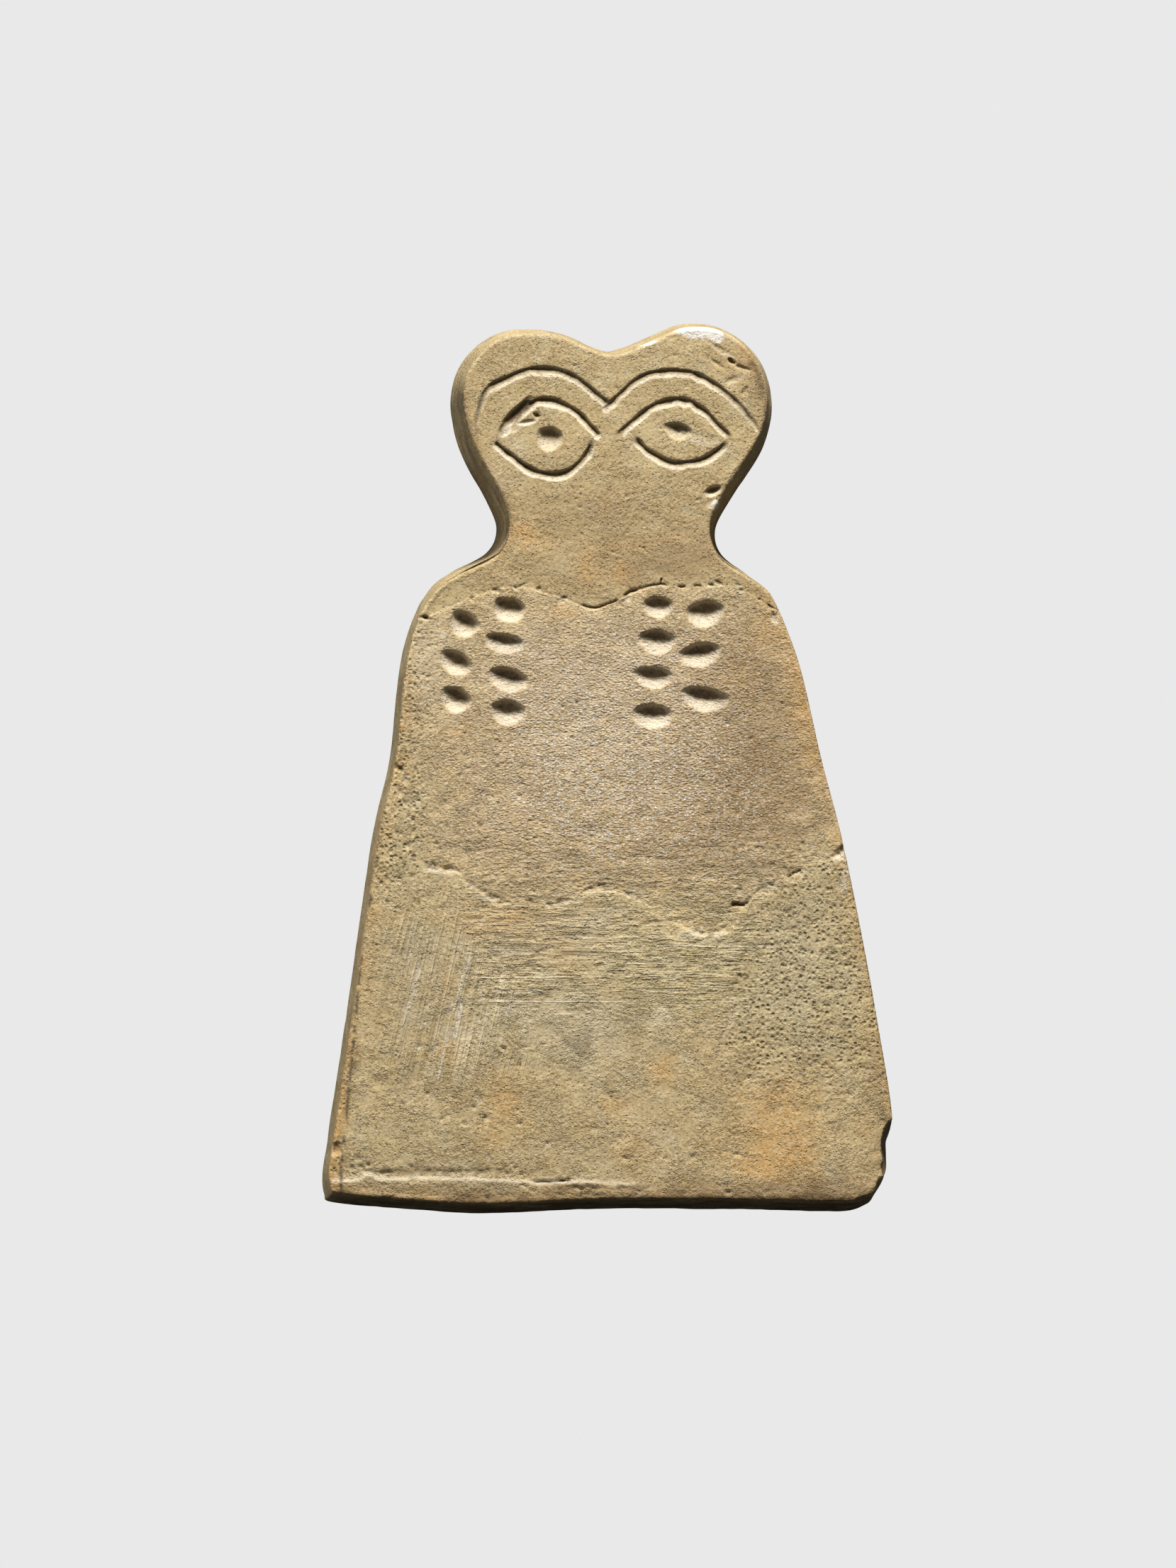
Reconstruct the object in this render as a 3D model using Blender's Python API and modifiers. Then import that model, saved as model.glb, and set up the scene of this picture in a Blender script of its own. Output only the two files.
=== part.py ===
"""Eye idol: a thin carved plaque of pale stone, with a pair of incised eyes above a bell-shaped body.

The plaque lies on its back. +Y runs from the foot to the head, +X to the right of the carved face, +Z out
of the face. The origin is on the underside, in the middle of the outline.
"""

import math

import bmesh
import bpy
from mathutils import Vector

MM = 0.001

# Driving sizes
HEIGHT = 65.0 * MM
WIDTH = 41.4 * MM
THICKNESS = 6.0 * MM

# How far the sides lean in from the back to the face
HEAD_LEAN = 0.75 * MM
BODY_LEAN = 0.30 * MM
FOOT_LEAN = 0.55 * MM
RIM_ROUND = 0.55 * MM
RIM_SEGMENTS = 3

# The carver's tools: a graver for the lines and a round drill for the pits
GRAVER_RADIUS = 0.36 * MM
GRAVER_DEPTH = 0.36 * MM
CRACK_RADIUS = 0.22 * MM
CRACK_DEPTH = 0.16 * MM
BORDER_RADIUS = 0.30 * MM
BORDER_DEPTH = 0.16 * MM
PIT_DEPTH = 0.75 * MM
PUPIL_DEPTH = 0.55 * MM
LINE_STEP = 0.7 * MM

# The outline and the carving keep their proportions: both are laid out on a grid of this many steps, with
# x counted from the middle line and the height from the foot.
STEPS_ACROSS = 41.4
STEPS_UP = 65.0

# Height of each station of the sides, and how far they reach to the left and right of the middle line
SIDES = (
    # height, left, right
    (1.4, 20.58, 19.60),
    (2.9, 20.70, 20.35),
    (5.0, 20.42, 20.40),
    (7.2, 20.10, 20.75),
    (14.0, 19.05, 19.68),
    (20.6, 18.12, 18.48),
    (27.5, 17.10, 17.05),
    (33.0, 15.88, 15.62),
    (39.2, 15.20, 14.20),
    (42.8, 14.35, 12.95),
    (45.3, 13.05, 11.90),
    (46.6, 11.50, 10.28),
    (48.1, 8.82, 8.42),
    (49.8, 8.08, 7.98),
    (51.8, 8.78, 8.95),
    (54.6, 10.35, 10.78),
    (56.6, 11.08, 11.78),
)
SHOULDER_HEIGHT = 43.0
NECK_HEIGHT = 48.1
FOOT_LINE = (
    (-19.9, 0.78), (-15.0, 0.35), (-9.0, 0.0), (0.0, 0.35), (10.0, 0.30), (16.9, 0.18), (18.9, 0.66),
)

# The two lobes of the head: middle and radius of each, and how far its arc runs from beside the cheek
LEFT_LOBE = (-6.00, 59.05, 5.45)
RIGHT_LOBE = (6.35, 59.15, 5.80)
LOBE_SWEEP = math.radians(100)
LOBE_POINTS = 5
NOTCH = ((-3.0, 64.05), (-1.2, 63.25), (0.1, 62.88), (1.4, 63.25), (3.3, 64.05))
CURVE_STEPS = 3

# Centre lines of the eyes, each from its left end to its right end
LEFT_BROW = (
    (-9.6, 56.0), (-9.6, 57.4), (-8.8, 59.4), (-7.3, 60.6), (-4.8, 61.2), (-2.3, 60.5), (-0.1, 58.8),
)
RIGHT_BROW = (
    (0.1, 58.8), (1.7, 60.3), (4.5, 61.1), (6.9, 60.6), (9.0, 59.2), (10.4, 57.6), (11.2, 56.4),
)
LEFT_UPPER_LID = ((-8.2, 56.1), (-6.5, 58.0), (-4.6, 58.9), (-2.5, 58.0), (-1.0, 56.3))
LEFT_LOWER_LID = ((-8.2, 55.7), (-6.5, 54.4), (-4.4, 53.4), (-2.3, 54.1), (-1.0, 56.2))
RIGHT_UPPER_LID = ((1.0, 56.8), (2.8, 58.1), (4.8, 58.8), (6.6, 58.1), (8.7, 56.2))
RIGHT_LOWER_LID = ((1.9, 56.2), (3.3, 54.9), (5.3, 54.2), (7.2, 54.7), (8.7, 56.1))
EYE_LINES = (
    LEFT_BROW, RIGHT_BROW, LEFT_UPPER_LID, LEFT_LOWER_LID, RIGHT_UPPER_LID, RIGHT_LOWER_LID,
)

# The mended breaks across the shoulders and the skirt, and the lines cut along the foot and the left side
COLLAR = (
    (-14.6, 43.1), (-12.5, 43.7), (-10.0, 44.8), (-6.5, 45.3), (-3.2, 44.4), (-1.1, 43.8), (1.2, 44.7),
    (3.5, 45.3), (8.7, 45.2), (11.3, 44.1), (13.0, 42.8),
)
BREAK = (
    (-13.3, 25.1), (-11.8, 24.7), (-10.3, 23.6), (-8.8, 22.8), (-6.3, 22.4), (-3.3, 22.3), (-0.8, 23.5),
    (1.7, 22.8), (3.7, 21.0), (6.0, 20.2), (8.6, 20.4), (9.8, 22.1), (11.7, 23.6), (14.2, 25.0),
    (17.6, 26.4),
)
FOOT_BORDER = ((-19.8, 2.5), (-14.3, 2.5), (-4.3, 2.3), (3.0, 2.1))
SIDE_BORDER = ((-17.6, 21.8), (-18.7, 11.5), (-19.5, 2.8))

# Middle, half width, half height and turn of each drilled pit, by column
PITS = (
    (-10.7, 42.6, 1.15, 1.00, -25), (-11.2, 39.8, 1.25, 0.85, -20), (-11.1, 37.2, 1.15, 0.85, -20),
    (-7.4, 43.6, 1.25, 0.90, -8), (-7.5, 41.2, 1.30, 0.80, -5), (-7.5, 38.6, 1.35, 0.85, -10),
    (-7.5, 36.2, 1.25, 0.95, -5), (3.4, 43.9, 1.10, 0.75, -3), (3.4, 41.4, 1.30, 0.80, 0),
    (3.1, 38.8, 1.40, 0.85, -5), (3.0, 36.0, 1.50, 0.85, 0), (6.8, 43.4, 1.40, 0.90, 5),
    (6.5, 40.4, 1.50, 0.90, 8), (6.8, 37.2, 1.55, 0.90, -5),
)
PUPILS = ((-4.5, 56.0, 1.00, 0.85, -5), (4.9, 56.6, 1.25, 0.75, -12))

# Chips knocked off the right foot corner: middle, radii across and up, and depth in millimetres
CHIPS = (
    (20.6, 4.2, 0.95, 2.9, 2.6),
    (18.8, 0.2, 1.35, 0.9, 2.2),
)
CHIP_RISE = 0.8 * MM

STONE_COLOUR = (0.49, 0.37, 0.22, 1.0)
STONE_ROUGHNESS = 0.7


def on_grid(x, height, z=0.0):
    """The place, in metres, of a point of the carver's grid."""
    return Vector((x * WIDTH / STEPS_ACROSS, (height / STEPS_UP - 0.5) * HEIGHT, z))


def lobe_arc(lobe, side):
    """Points round the outside of one lobe, from beside the cheek to the crown; side is -1 or 1."""
    x, height, radius = lobe
    angles = [LOBE_SWEEP * i / (LOBE_POINTS - 1) for i in range(LOBE_POINTS)]
    return [(x + side * radius * math.cos(a), height + radius * math.sin(a)) for a in angles]


def outline_anchors():
    """Anchors of the outline, anticlockwise from the left end of the foot."""
    right = [(reach, height) for height, _, reach in SIDES]
    left = [(-reach, height) for height, reach, _ in SIDES]
    points = [*FOOT_LINE, *right]
    points += lobe_arc(RIGHT_LOBE, 1)
    points += reversed(NOTCH)
    points += reversed(lobe_arc(LEFT_LOBE, -1))
    points += reversed(left)
    return [on_grid(x, height) for x, height in points]


def new_material():
    """The stone's plain colour."""
    material = bpy.data.materials.new("stone")
    material.use_nodes = True
    shader = material.node_tree.nodes["Principled BSDF"]
    shader.inputs["Base Color"].default_value = STONE_COLOUR
    shader.inputs["Roughness"].default_value = STONE_ROUGHNESS
    return material


def mesh_of(curve_object, name, collection):
    """The curve object as a welded mesh object of its own; the curve goes."""
    graph = bpy.context.evaluated_depsgraph_get()
    mesh = bpy.data.meshes.new_from_object(curve_object.evaluated_get(graph))
    made = bpy.data.objects.new(name, mesh)
    made.matrix_world = curve_object.matrix_world.copy()
    collection.objects.link(made)
    bpy.data.objects.remove(curve_object)
    shape = bmesh.new()
    shape.from_mesh(mesh)
    bmesh.ops.remove_doubles(shape, verts=shape.verts, dist=1e-7)
    shape.to_mesh(mesh)
    shape.free()
    return made


def outline_plate(collection):
    """The plaque with upright sides: the outline as a filled curve, extruded to the full thickness."""
    data = bpy.data.curves.new("outline", "CURVE")
    data.dimensions = "2D"
    data.fill_mode = "BOTH"
    data.extrude = THICKNESS / 2
    data.resolution_u = CURVE_STEPS
    anchors = outline_anchors()
    spline = data.splines.new("BEZIER")
    spline.bezier_points.add(len(anchors) - 1)
    spline.use_cyclic_u = True
    for knot, place in zip(spline.bezier_points, anchors):
        knot.co = place
        knot.handle_left_type = knot.handle_right_type = "AUTO"
    curve = bpy.data.objects.new("outline", data)
    collection.objects.link(curve)
    curve.location.z = THICKNESS / 2
    bpy.context.view_layer.update()
    return mesh_of(curve, "idol", collection)


def lean_at(height_share, normal):
    """How far the side leans in where the outline has this height, as a share, and this outward normal."""
    neck_share = NECK_HEIGHT / STEPS_UP
    shoulder_share = SHOULDER_HEIGHT / STEPS_UP
    t = min(1.0, max(0.0, (height_share - shoulder_share) / (neck_share - shoulder_share)))
    side = BODY_LEAN + (HEAD_LEAN - BODY_LEAN) * t
    return side + (FOOT_LEAN - side) * max(0.0, -normal.y) * (1.0 - t)


def fit_outline(mesh):
    """Stretches the outline to the driving sizes, with its middle on the origin."""
    for axis, size in enumerate((WIDTH, HEIGHT)):
        places = [corner.co[axis] for corner in mesh.vertices]
        middle = (min(places) + max(places)) / 2
        stretch = size / (max(places) - min(places))
        for corner in mesh.vertices:
            corner.co[axis] = (corner.co[axis] - middle) * stretch


def lean_sides(plate):
    """Joins each cap into one face and leans the sides.

    The sides meet the outline at the height where the rounding of the back's rim ends.
    """
    shape = bmesh.new()
    shape.from_mesh(plate.data)
    bmesh.ops.dissolve_limit(
        shape, angle_limit=math.radians(1), verts=shape.verts, edges=shape.edges, delimit={"NORMAL"}
    )
    below = -RIM_ROUND / THICKNESS
    moves = []
    for corner in shape.verts:
        walls = [face.normal for face in corner.link_faces if abs(face.normal.z) < 0.5]
        normal = sum(walls, Vector()).normalized()
        share = below if corner.co.z < 0 else 1.0 + below
        moves.append((corner, normal * share * lean_at(corner.co.y / HEIGHT + 0.5, normal)))
    for corner, inward in moves:
        corner.co -= inward
    shape.to_mesh(plate.data)
    shape.free()


def smooth_line(points, step):
    """Points at about this spacing on a smooth curve through the given ones."""
    ends = [points[0] * 2 - points[1], *points, points[-1] * 2 - points[-2]]
    line = []
    for before, start, end, after in zip(ends, ends[1:], ends[2:], ends[3:]):
        count = max(1, round((end - start).length / step))
        for i in range(count):
            t = i / count
            line.append(
                0.5 * (
                    2 * start
                    + (end - before) * t
                    + (2 * before - 5 * start + 4 * end - after) * t**2
                    + (3 * start - before - 3 * end + after) * t**3
                )
            )
    return line + [points[-1]]


def line_cutter(name, points, radius, depth, collection):
    """A round graver drawn along the line, this deep in the face."""
    data = bpy.data.curves.new(name, "CURVE")
    data.dimensions = "3D"
    data.bevel_depth = radius
    data.bevel_resolution = 2
    data.use_fill_caps = True
    centre_height = THICKNESS - depth + radius
    path = smooth_line([on_grid(x, height, centre_height) for x, height in points], LINE_STEP)
    spline = data.splines.new("POLY")
    spline.points.add(len(path) - 1)
    for knot, place in zip(spline.points, path):
        knot.co = (*place, 1.0)
    curve = bpy.data.objects.new(name, data)
    collection.objects.link(curve)
    bpy.context.view_layer.update()
    return mesh_of(curve, name, collection)


def round_cutter(name, middle, radii, turn, collection):
    """A ball stretched to these radii, in metres, and turned by this many degrees in the face."""
    mesh = bpy.data.meshes.new(name)
    shape = bmesh.new()
    bmesh.ops.create_uvsphere(shape, u_segments=14, v_segments=8, radius=1.0)
    shape.to_mesh(mesh)
    shape.free()
    ball = bpy.data.objects.new(name, mesh)
    ball.location = middle
    ball.rotation_euler.z = math.radians(turn)
    ball.scale = radii
    collection.objects.link(ball)
    return ball


def pit_cutter(name, pit, depth, collection):
    """A cutter for a drilled pit: its middle is on the face, and it goes this deep."""
    x, height, half_width, half_height, turn = pit
    across = half_width * WIDTH / STEPS_ACROSS
    up = half_height * HEIGHT / STEPS_UP
    return round_cutter(name, on_grid(x, height, THICKNESS), (across, up, depth), turn, collection)


def make_cutters(collection):
    """Every cutter of the carving and of the damage."""
    for number, points in enumerate(EYE_LINES):
        line_cutter(f"eye_line_{number}", points, GRAVER_RADIUS, GRAVER_DEPTH, collection)
    line_cutter("collar_line", COLLAR, CRACK_RADIUS, CRACK_DEPTH, collection)
    line_cutter("break_line", BREAK, CRACK_RADIUS, CRACK_DEPTH, collection)
    line_cutter("foot_border", FOOT_BORDER, BORDER_RADIUS, BORDER_DEPTH, collection)
    line_cutter("side_border", SIDE_BORDER, BORDER_RADIUS, BORDER_DEPTH, collection)
    for number, pit in enumerate(PITS):
        pit_cutter(f"pit_{number}", pit, PIT_DEPTH, collection)
    for number, pupil in enumerate(PUPILS):
        pit_cutter(f"pupil_{number}", pupil, PUPIL_DEPTH, collection)
    for number, (x, height, across, up, into) in enumerate(CHIPS):
        middle = on_grid(x, height, THICKNESS + CHIP_RISE)
        radii = (across * MM, up * MM, into * MM + CHIP_RISE)
        round_cutter(f"chip_{number}", middle, radii, 0, collection)
    for cutter in collection.objects:
        cutter.hide_render = True
        cutter.display_type = "WIRE"


def carve_idol():
    """Builds the plaque and cuts the carving into it."""
    for old in list(bpy.data.objects):
        bpy.data.objects.remove(old)
    idol_collection = bpy.data.collections.new("eye_idol")
    cutters = bpy.data.collections.new("cutters")
    for collection in (idol_collection, cutters):
        bpy.context.scene.collection.children.link(collection)
    plate = outline_plate(idol_collection)
    fit_outline(plate.data)
    lean_sides(plate)
    make_cutters(cutters)
    plate.data.materials.append(new_material())
    rim = plate.modifiers.new("rim", "BEVEL")
    rim.width = RIM_ROUND
    rim.segments = RIM_SEGMENTS
    rim.limit_method = "ANGLE"
    rim.angle_limit = math.radians(50)
    carving = plate.modifiers.new("carving", "BOOLEAN")
    carving.operation = "DIFFERENCE"
    carving.operand_type = "COLLECTION"
    carving.collection = cutters
    carving.solver = "EXACT"


carve_idol()
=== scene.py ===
"""Dresses the eye idol: a small carved plaque of pale stone, worn, cracked and mended, lying on its back.

Plan positions are in millimetres from the middle of the plaque, seen from above its carved face: x to the
right and y toward the head. Heights are in millimetres above the back.
"""

from __future__ import annotations

import logging
import math
from dataclasses import dataclass, field
from enum import Enum

import bpy
import numpy as np
from mathutils import Matrix, Vector
from mathutils.kdtree import KDTree


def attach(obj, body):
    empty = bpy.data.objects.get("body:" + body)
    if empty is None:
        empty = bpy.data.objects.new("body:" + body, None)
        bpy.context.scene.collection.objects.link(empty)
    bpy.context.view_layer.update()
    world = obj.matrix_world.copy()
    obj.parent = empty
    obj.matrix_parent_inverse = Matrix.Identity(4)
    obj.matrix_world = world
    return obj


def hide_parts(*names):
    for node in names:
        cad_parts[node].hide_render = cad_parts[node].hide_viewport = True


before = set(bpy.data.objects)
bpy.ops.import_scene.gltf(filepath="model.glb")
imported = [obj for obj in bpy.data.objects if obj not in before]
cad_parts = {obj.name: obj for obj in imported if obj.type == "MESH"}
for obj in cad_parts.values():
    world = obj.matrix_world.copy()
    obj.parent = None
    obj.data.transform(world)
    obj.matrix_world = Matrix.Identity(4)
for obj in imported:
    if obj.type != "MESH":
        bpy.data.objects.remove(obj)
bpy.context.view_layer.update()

LOG = logging.getLogger("eye_idol")
MM = 0.001

Point = tuple[float, float]


class Side(Enum):
    """The four edges of the plaque's outline."""

    FOOT = "foot"
    RIGHT = "right"
    CROWN = "crown"
    LEFT = "left"


def ease(low: float, high: float, value: np.ndarray) -> np.ndarray:
    """Smooth rise from 0 at low to 1 at high.

    Args:
        low: Value below which the result is 0.
        high: Value above which the result is 1.
        value: The values to map.

    Returns:
        The eased values.
    """
    t = np.clip((value - low) / (high - low), 0.0, 1.0)
    return t * t * (3.0 - 2.0 * t)


def smooth_line(points: tuple[Point, ...] | list[Point], step: float = 0.25) -> np.ndarray:
    """A smooth curve through some points.

    Args:
        points: Points of the line, in order.
        step: Rough spacing of the points returned.

    Returns:
        Points on the curve, one row each.
    """
    knots = np.array(points, dtype=float)
    knots = np.vstack([2 * knots[0] - knots[1], knots, 2 * knots[-1] - knots[-2]])
    line = []
    for before, start, end, after in zip(knots, knots[1:], knots[2:], knots[3:]):
        count = max(1, round(float(np.linalg.norm(end - start)) / step))
        t = (np.arange(count) / count)[:, None]
        line.append(
            0.5
            * (
                2 * start
                + (end - before) * t
                + (2 * before - 5 * start + 4 * end - after) * t**2
                + (3 * start - before - 3 * end + after) * t**3
            )
        )
    line.append(knots[-2][None, :])
    return np.vstack(line)


def above(line: np.ndarray, x: np.ndarray, y: np.ndarray) -> np.ndarray:
    """How far each place is above a line that runs from left to right."""
    return y - np.interp(x, line[:, 0], line[:, 1])


def lay(masks: dict[str, np.ndarray], name: str, amount: np.ndarray) -> None:
    """Adds an amount to one of the masks, which stays from 0 to 1."""
    masks[name] = np.clip(masks[name] + amount, 0.0, 1.0)


def tree_of(loop: np.ndarray) -> KDTree:
    """A search tree of an outline's points."""
    tree = KDTree(len(loop))
    for index, point in enumerate(loop):
        tree.insert((point[0], point[1], 0.0), index)
    tree.balance()
    return tree


class Lattice:
    """Seeded smooth noise in space, from -1 to 1."""

    def __init__(self, seed: int, cells: int = 64) -> None:
        """Fills the lattice.

        Args:
            seed: Seed of the random numbers.
            cells: Cells along each side before the noise repeats.
        """
        self.cells = cells
        self.table = np.random.default_rng(seed).uniform(-1.0, 1.0, (cells, cells, cells))

    def at(self, x: np.ndarray, y: np.ndarray, z: np.ndarray | float = 0.0) -> np.ndarray:
        """Noise at these places, in cells of the lattice.

        Args:
            x: First coordinate.
            y: Second coordinate.
            z: Third coordinate.

        Returns:
            The noise, one value a place.
        """
        place = np.stack(np.broadcast_arrays(x, y, z))
        base = np.floor(place).astype(int)
        t = place - base
        t = t * t * (3.0 - 2.0 * t)
        low = base % self.cells
        high = (base + 1) % self.cells
        total = np.zeros(place.shape[1:])
        for corner in range(8):
            picks = [(corner >> axis) & 1 for axis in range(3)]
            index = [high[axis] if picks[axis] else low[axis] for axis in range(3)]
            weight = np.ones_like(total)
            for axis in range(3):
                weight = weight * (t[axis] if picks[axis] else 1.0 - t[axis])
            total += weight * self.table[index[0], index[1], index[2]]
        return total

    def layers(self, x: np.ndarray, y: np.ndarray, size: float, count: int = 3) -> np.ndarray:
        """Noise summed over ever finer sizes, each half as strong.

        Args:
            x: First coordinate, in millimetres.
            y: Second coordinate, in millimetres.
            size: Size of the coarsest layer, in millimetres.
            count: Number of layers.

        Returns:
            The summed noise.
        """
        total = np.zeros_like(x, dtype=float)
        for layer in range(count):
            scale = 2**layer / size
            total += self.at(x * scale + 7.3 * layer, y * scale + 3.1 * layer, 5.7 * layer) / 2**layer
        return total


@dataclass
class Outline:
    """The plaque's outline at its back and at its face, with the sides leaning in between them."""

    width: float = 41.4
    height: float = 65.0
    head_lean: float = 0.75
    body_lean: float = 0.30
    foot_lean: float = 0.55
    shoulder_y: float = 10.5
    neck_y: float = 15.6
    step: float = 0.1
    sides: tuple[tuple[float, float, float], ...] = (
        (-31.10, 20.58, 19.60),
        (-29.60, 20.70, 20.35),
        (-27.50, 20.42, 20.40),
        (-25.30, 20.10, 20.75),
        (-18.50, 19.05, 19.68),
        (-11.90, 18.12, 18.48),
        (-5.00, 17.10, 17.05),
        (0.50, 15.88, 15.62),
        (6.70, 15.20, 14.20),
        (10.30, 14.35, 12.95),
        (12.80, 13.05, 11.90),
        (14.10, 11.50, 10.28),
        (15.60, 8.82, 8.42),
        (17.30, 8.08, 7.98),
        (19.30, 8.78, 8.95),
        (22.10, 10.35, 10.78),
        (24.10, 11.08, 11.78),
    )
    foot: tuple[Point, ...] = (
        (-19.9, -31.72), (-15.0, -32.15), (-9.0, -32.5), (0.0, -32.15), (10.0, -32.20), (16.9, -32.32),
        (18.9, -31.84),
    )
    notch: tuple[Point, ...] = ((3.3, 31.55), (1.4, 30.75), (0.1, 30.38), (-1.2, 30.75), (-3.0, 31.55))
    left_lobe: tuple[float, float, float] = (-6.00, 26.55, 5.45)
    right_lobe: tuple[float, float, float] = (6.35, 26.65, 5.80)
    lobe_sweep: float = math.radians(100)
    lobe_points: int = 5
    corners: tuple[Point, ...] = ((-20.42, -31.45), (19.35, -31.5), (10.79, 30.38), (-10.17, 30.05))
    loop: np.ndarray = field(init=False)
    normals: np.ndarray = field(init=False)

    def __post_init__(self) -> None:
        """Traces the outline."""
        self.loop = self._trace()
        ahead = np.roll(self.loop, -4, axis=0) - np.roll(self.loop, 4, axis=0)
        ahead /= np.linalg.norm(ahead, axis=1)[:, None]
        self.normals = np.stack([ahead[:, 1], -ahead[:, 0]], axis=1)
        marks = [int(np.argmin(np.linalg.norm(self.loop - corner, axis=1))) for corner in self.corners]
        order = (Side.FOOT, Side.RIGHT, Side.CROWN, Side.LEFT)
        self._spans = {side: (marks[i], marks[(i + 1) % 4]) for i, side in enumerate(order)}

    def _lobe(self, lobe: tuple[float, float, float], side: int) -> list[Point]:
        """Points round the outside of one lobe of the head, from beside the cheek to the crown.

        Args:
            lobe: Middle and radius of the lobe.
            side: -1 for the left lobe and 1 for the right one.

        Returns:
            The points.
        """
        x, y, radius = lobe
        angles = [self.lobe_sweep * i / (self.lobe_points - 1) for i in range(self.lobe_points)]
        return [(x + side * radius * math.cos(a), y + radius * math.sin(a)) for a in angles]

    def _trace(self) -> np.ndarray:
        """The closed outline, anticlockwise from the left end of the foot, fitted to the plaque's size.

        Returns:
            Its points in plan.
        """
        anchors = [*self.foot, *[(right, y) for y, _, right in self.sides]]
        anchors += self._lobe(self.right_lobe, 1)
        anchors += self.notch
        anchors += reversed(self._lobe(self.left_lobe, -1))
        anchors += reversed([(-left, y) for y, left, _ in self.sides])
        closed = [*anchors[-3:], *anchors, *anchors[:3]]
        line = smooth_line(closed, self.step)
        first = int(np.argmin(np.linalg.norm(line[: len(line) // 2] - anchors[0], axis=1)))
        last = len(line) // 2 + int(np.argmin(np.linalg.norm(line[len(line) // 2 :] - anchors[0], axis=1)))
        loop = line[first:last]
        low, high = loop.min(axis=0), loop.max(axis=0)
        return (loop - (low + high) / 2) * (np.array([self.width, self.height]) / (high - low))

    def at_level(self, level: float, inset: float = 0.0) -> np.ndarray:
        """The outline at some share of the thickness.

        Args:
            level: 0 at the back and 1 at the face.
            inset: How far in from there.

        Returns:
            The closed outline.
        """
        t = np.clip((self.loop[:, 1] - self.shoulder_y) / (self.neck_y - self.shoulder_y), 0.0, 1.0)
        side = self.body_lean + (self.head_lean - self.body_lean) * t
        lean = side + (self.foot_lean - side) * np.maximum(0.0, -self.normals[:, 1]) * (1.0 - t)
        return self.loop - self.normals * (lean * level + inset)[:, None]

    def edge(self, side: Side, loop: np.ndarray) -> tuple[np.ndarray, np.ndarray]:
        """One edge of the outline, from left to right or from the foot to the head.

        Args:
            side: Which edge.
            loop: The closed outline at some level.

        Returns:
            The share of the way along at each point, and the points.
        """
        start, end = self._spans[side]
        count = (end - start) % len(loop)
        part = loop[(start + np.arange(count + 1)) % len(loop)]
        if side in (Side.CROWN, Side.LEFT):
            part = part[::-1]
        if side in (Side.LEFT, Side.RIGHT):
            share = np.maximum.accumulate(part[:, 1])
        else:
            share = np.concatenate([[0.0], np.cumsum(np.linalg.norm(np.diff(part, axis=0), axis=1))])
        return (share - share[0]) / (share[-1] - share[0]), part

    def spread(self, s: np.ndarray, t: np.ndarray, loop: np.ndarray) -> np.ndarray:
        """Places inside the outline, blended from its four edges.

        Args:
            s: Share of the way from left to right.
            t: Share of the way from the foot to the head.
            loop: The closed outline at some level.

        Returns:
            The plan positions, one row each.
        """
        def along(side: Side, share: np.ndarray) -> np.ndarray:
            """Points at these shares of the way along one edge."""
            table, part = self.edge(side, loop)
            return np.stack([np.interp(share, table, part[:, axis]) for axis in range(2)], axis=1)

        foot, crown = along(Side.FOOT, s), along(Side.CROWN, s)
        left, right = along(Side.LEFT, t), along(Side.RIGHT, t)
        ends = np.array([0.0, 1.0])
        foot_ends, crown_ends = along(Side.FOOT, ends), along(Side.CROWN, ends)
        s, t = s[:, None], t[:, None]
        corners = (
            foot_ends[0] * (1 - s) * (1 - t)
            + foot_ends[1] * s * (1 - t)
            + crown_ends[0] * (1 - s) * t
            + crown_ends[1] * s * t
        )
        return foot * (1 - t) + crown * t + left * (1 - s) + right * s - corners


@dataclass(frozen=True)
class Stroke:
    """A line cut, cracked or scratched in the face."""

    points: tuple[Point, ...]
    half_width: float
    depth: float
    fade_in: float = 0.0
    fade_out: float = 0.0
    lip: float = 0.0
    # Darkening of the floor and the upper wall: dirt, and painted shade on the upper wall, which faces away
    # from the light
    dirt_and_shade: float = 0.0
    pale: float = 0.0
    # Paler colour on the lower slope, which faces the light: a painted highlight
    crest: float = 0.0
    wander: float = 0.0


@dataclass(frozen=True)
class Hollow:
    """A rounded hollow in the face: a drilled pit, a pupil, a dent or a chip."""

    x: float
    y: float
    half_width: float
    half_height: float
    depth: float
    turn: float = 0.0
    # Darkening of the upper wall, which faces away from the light: a painted shadow
    dirt_and_shade: float = 0.0
    # Paler colour in the rest of the hollow: fresh stone, and a painted highlight on the lower wall, which
    # faces the light
    pale: float = 0.0
    roundness: float = 1.6


@dataclass(frozen=True)
class Patch:
    """A soft-edged patch of colour on the face."""

    x: float
    y: float
    half_width: float
    half_height: float
    strength: float
    turn: float = 0.0


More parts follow.
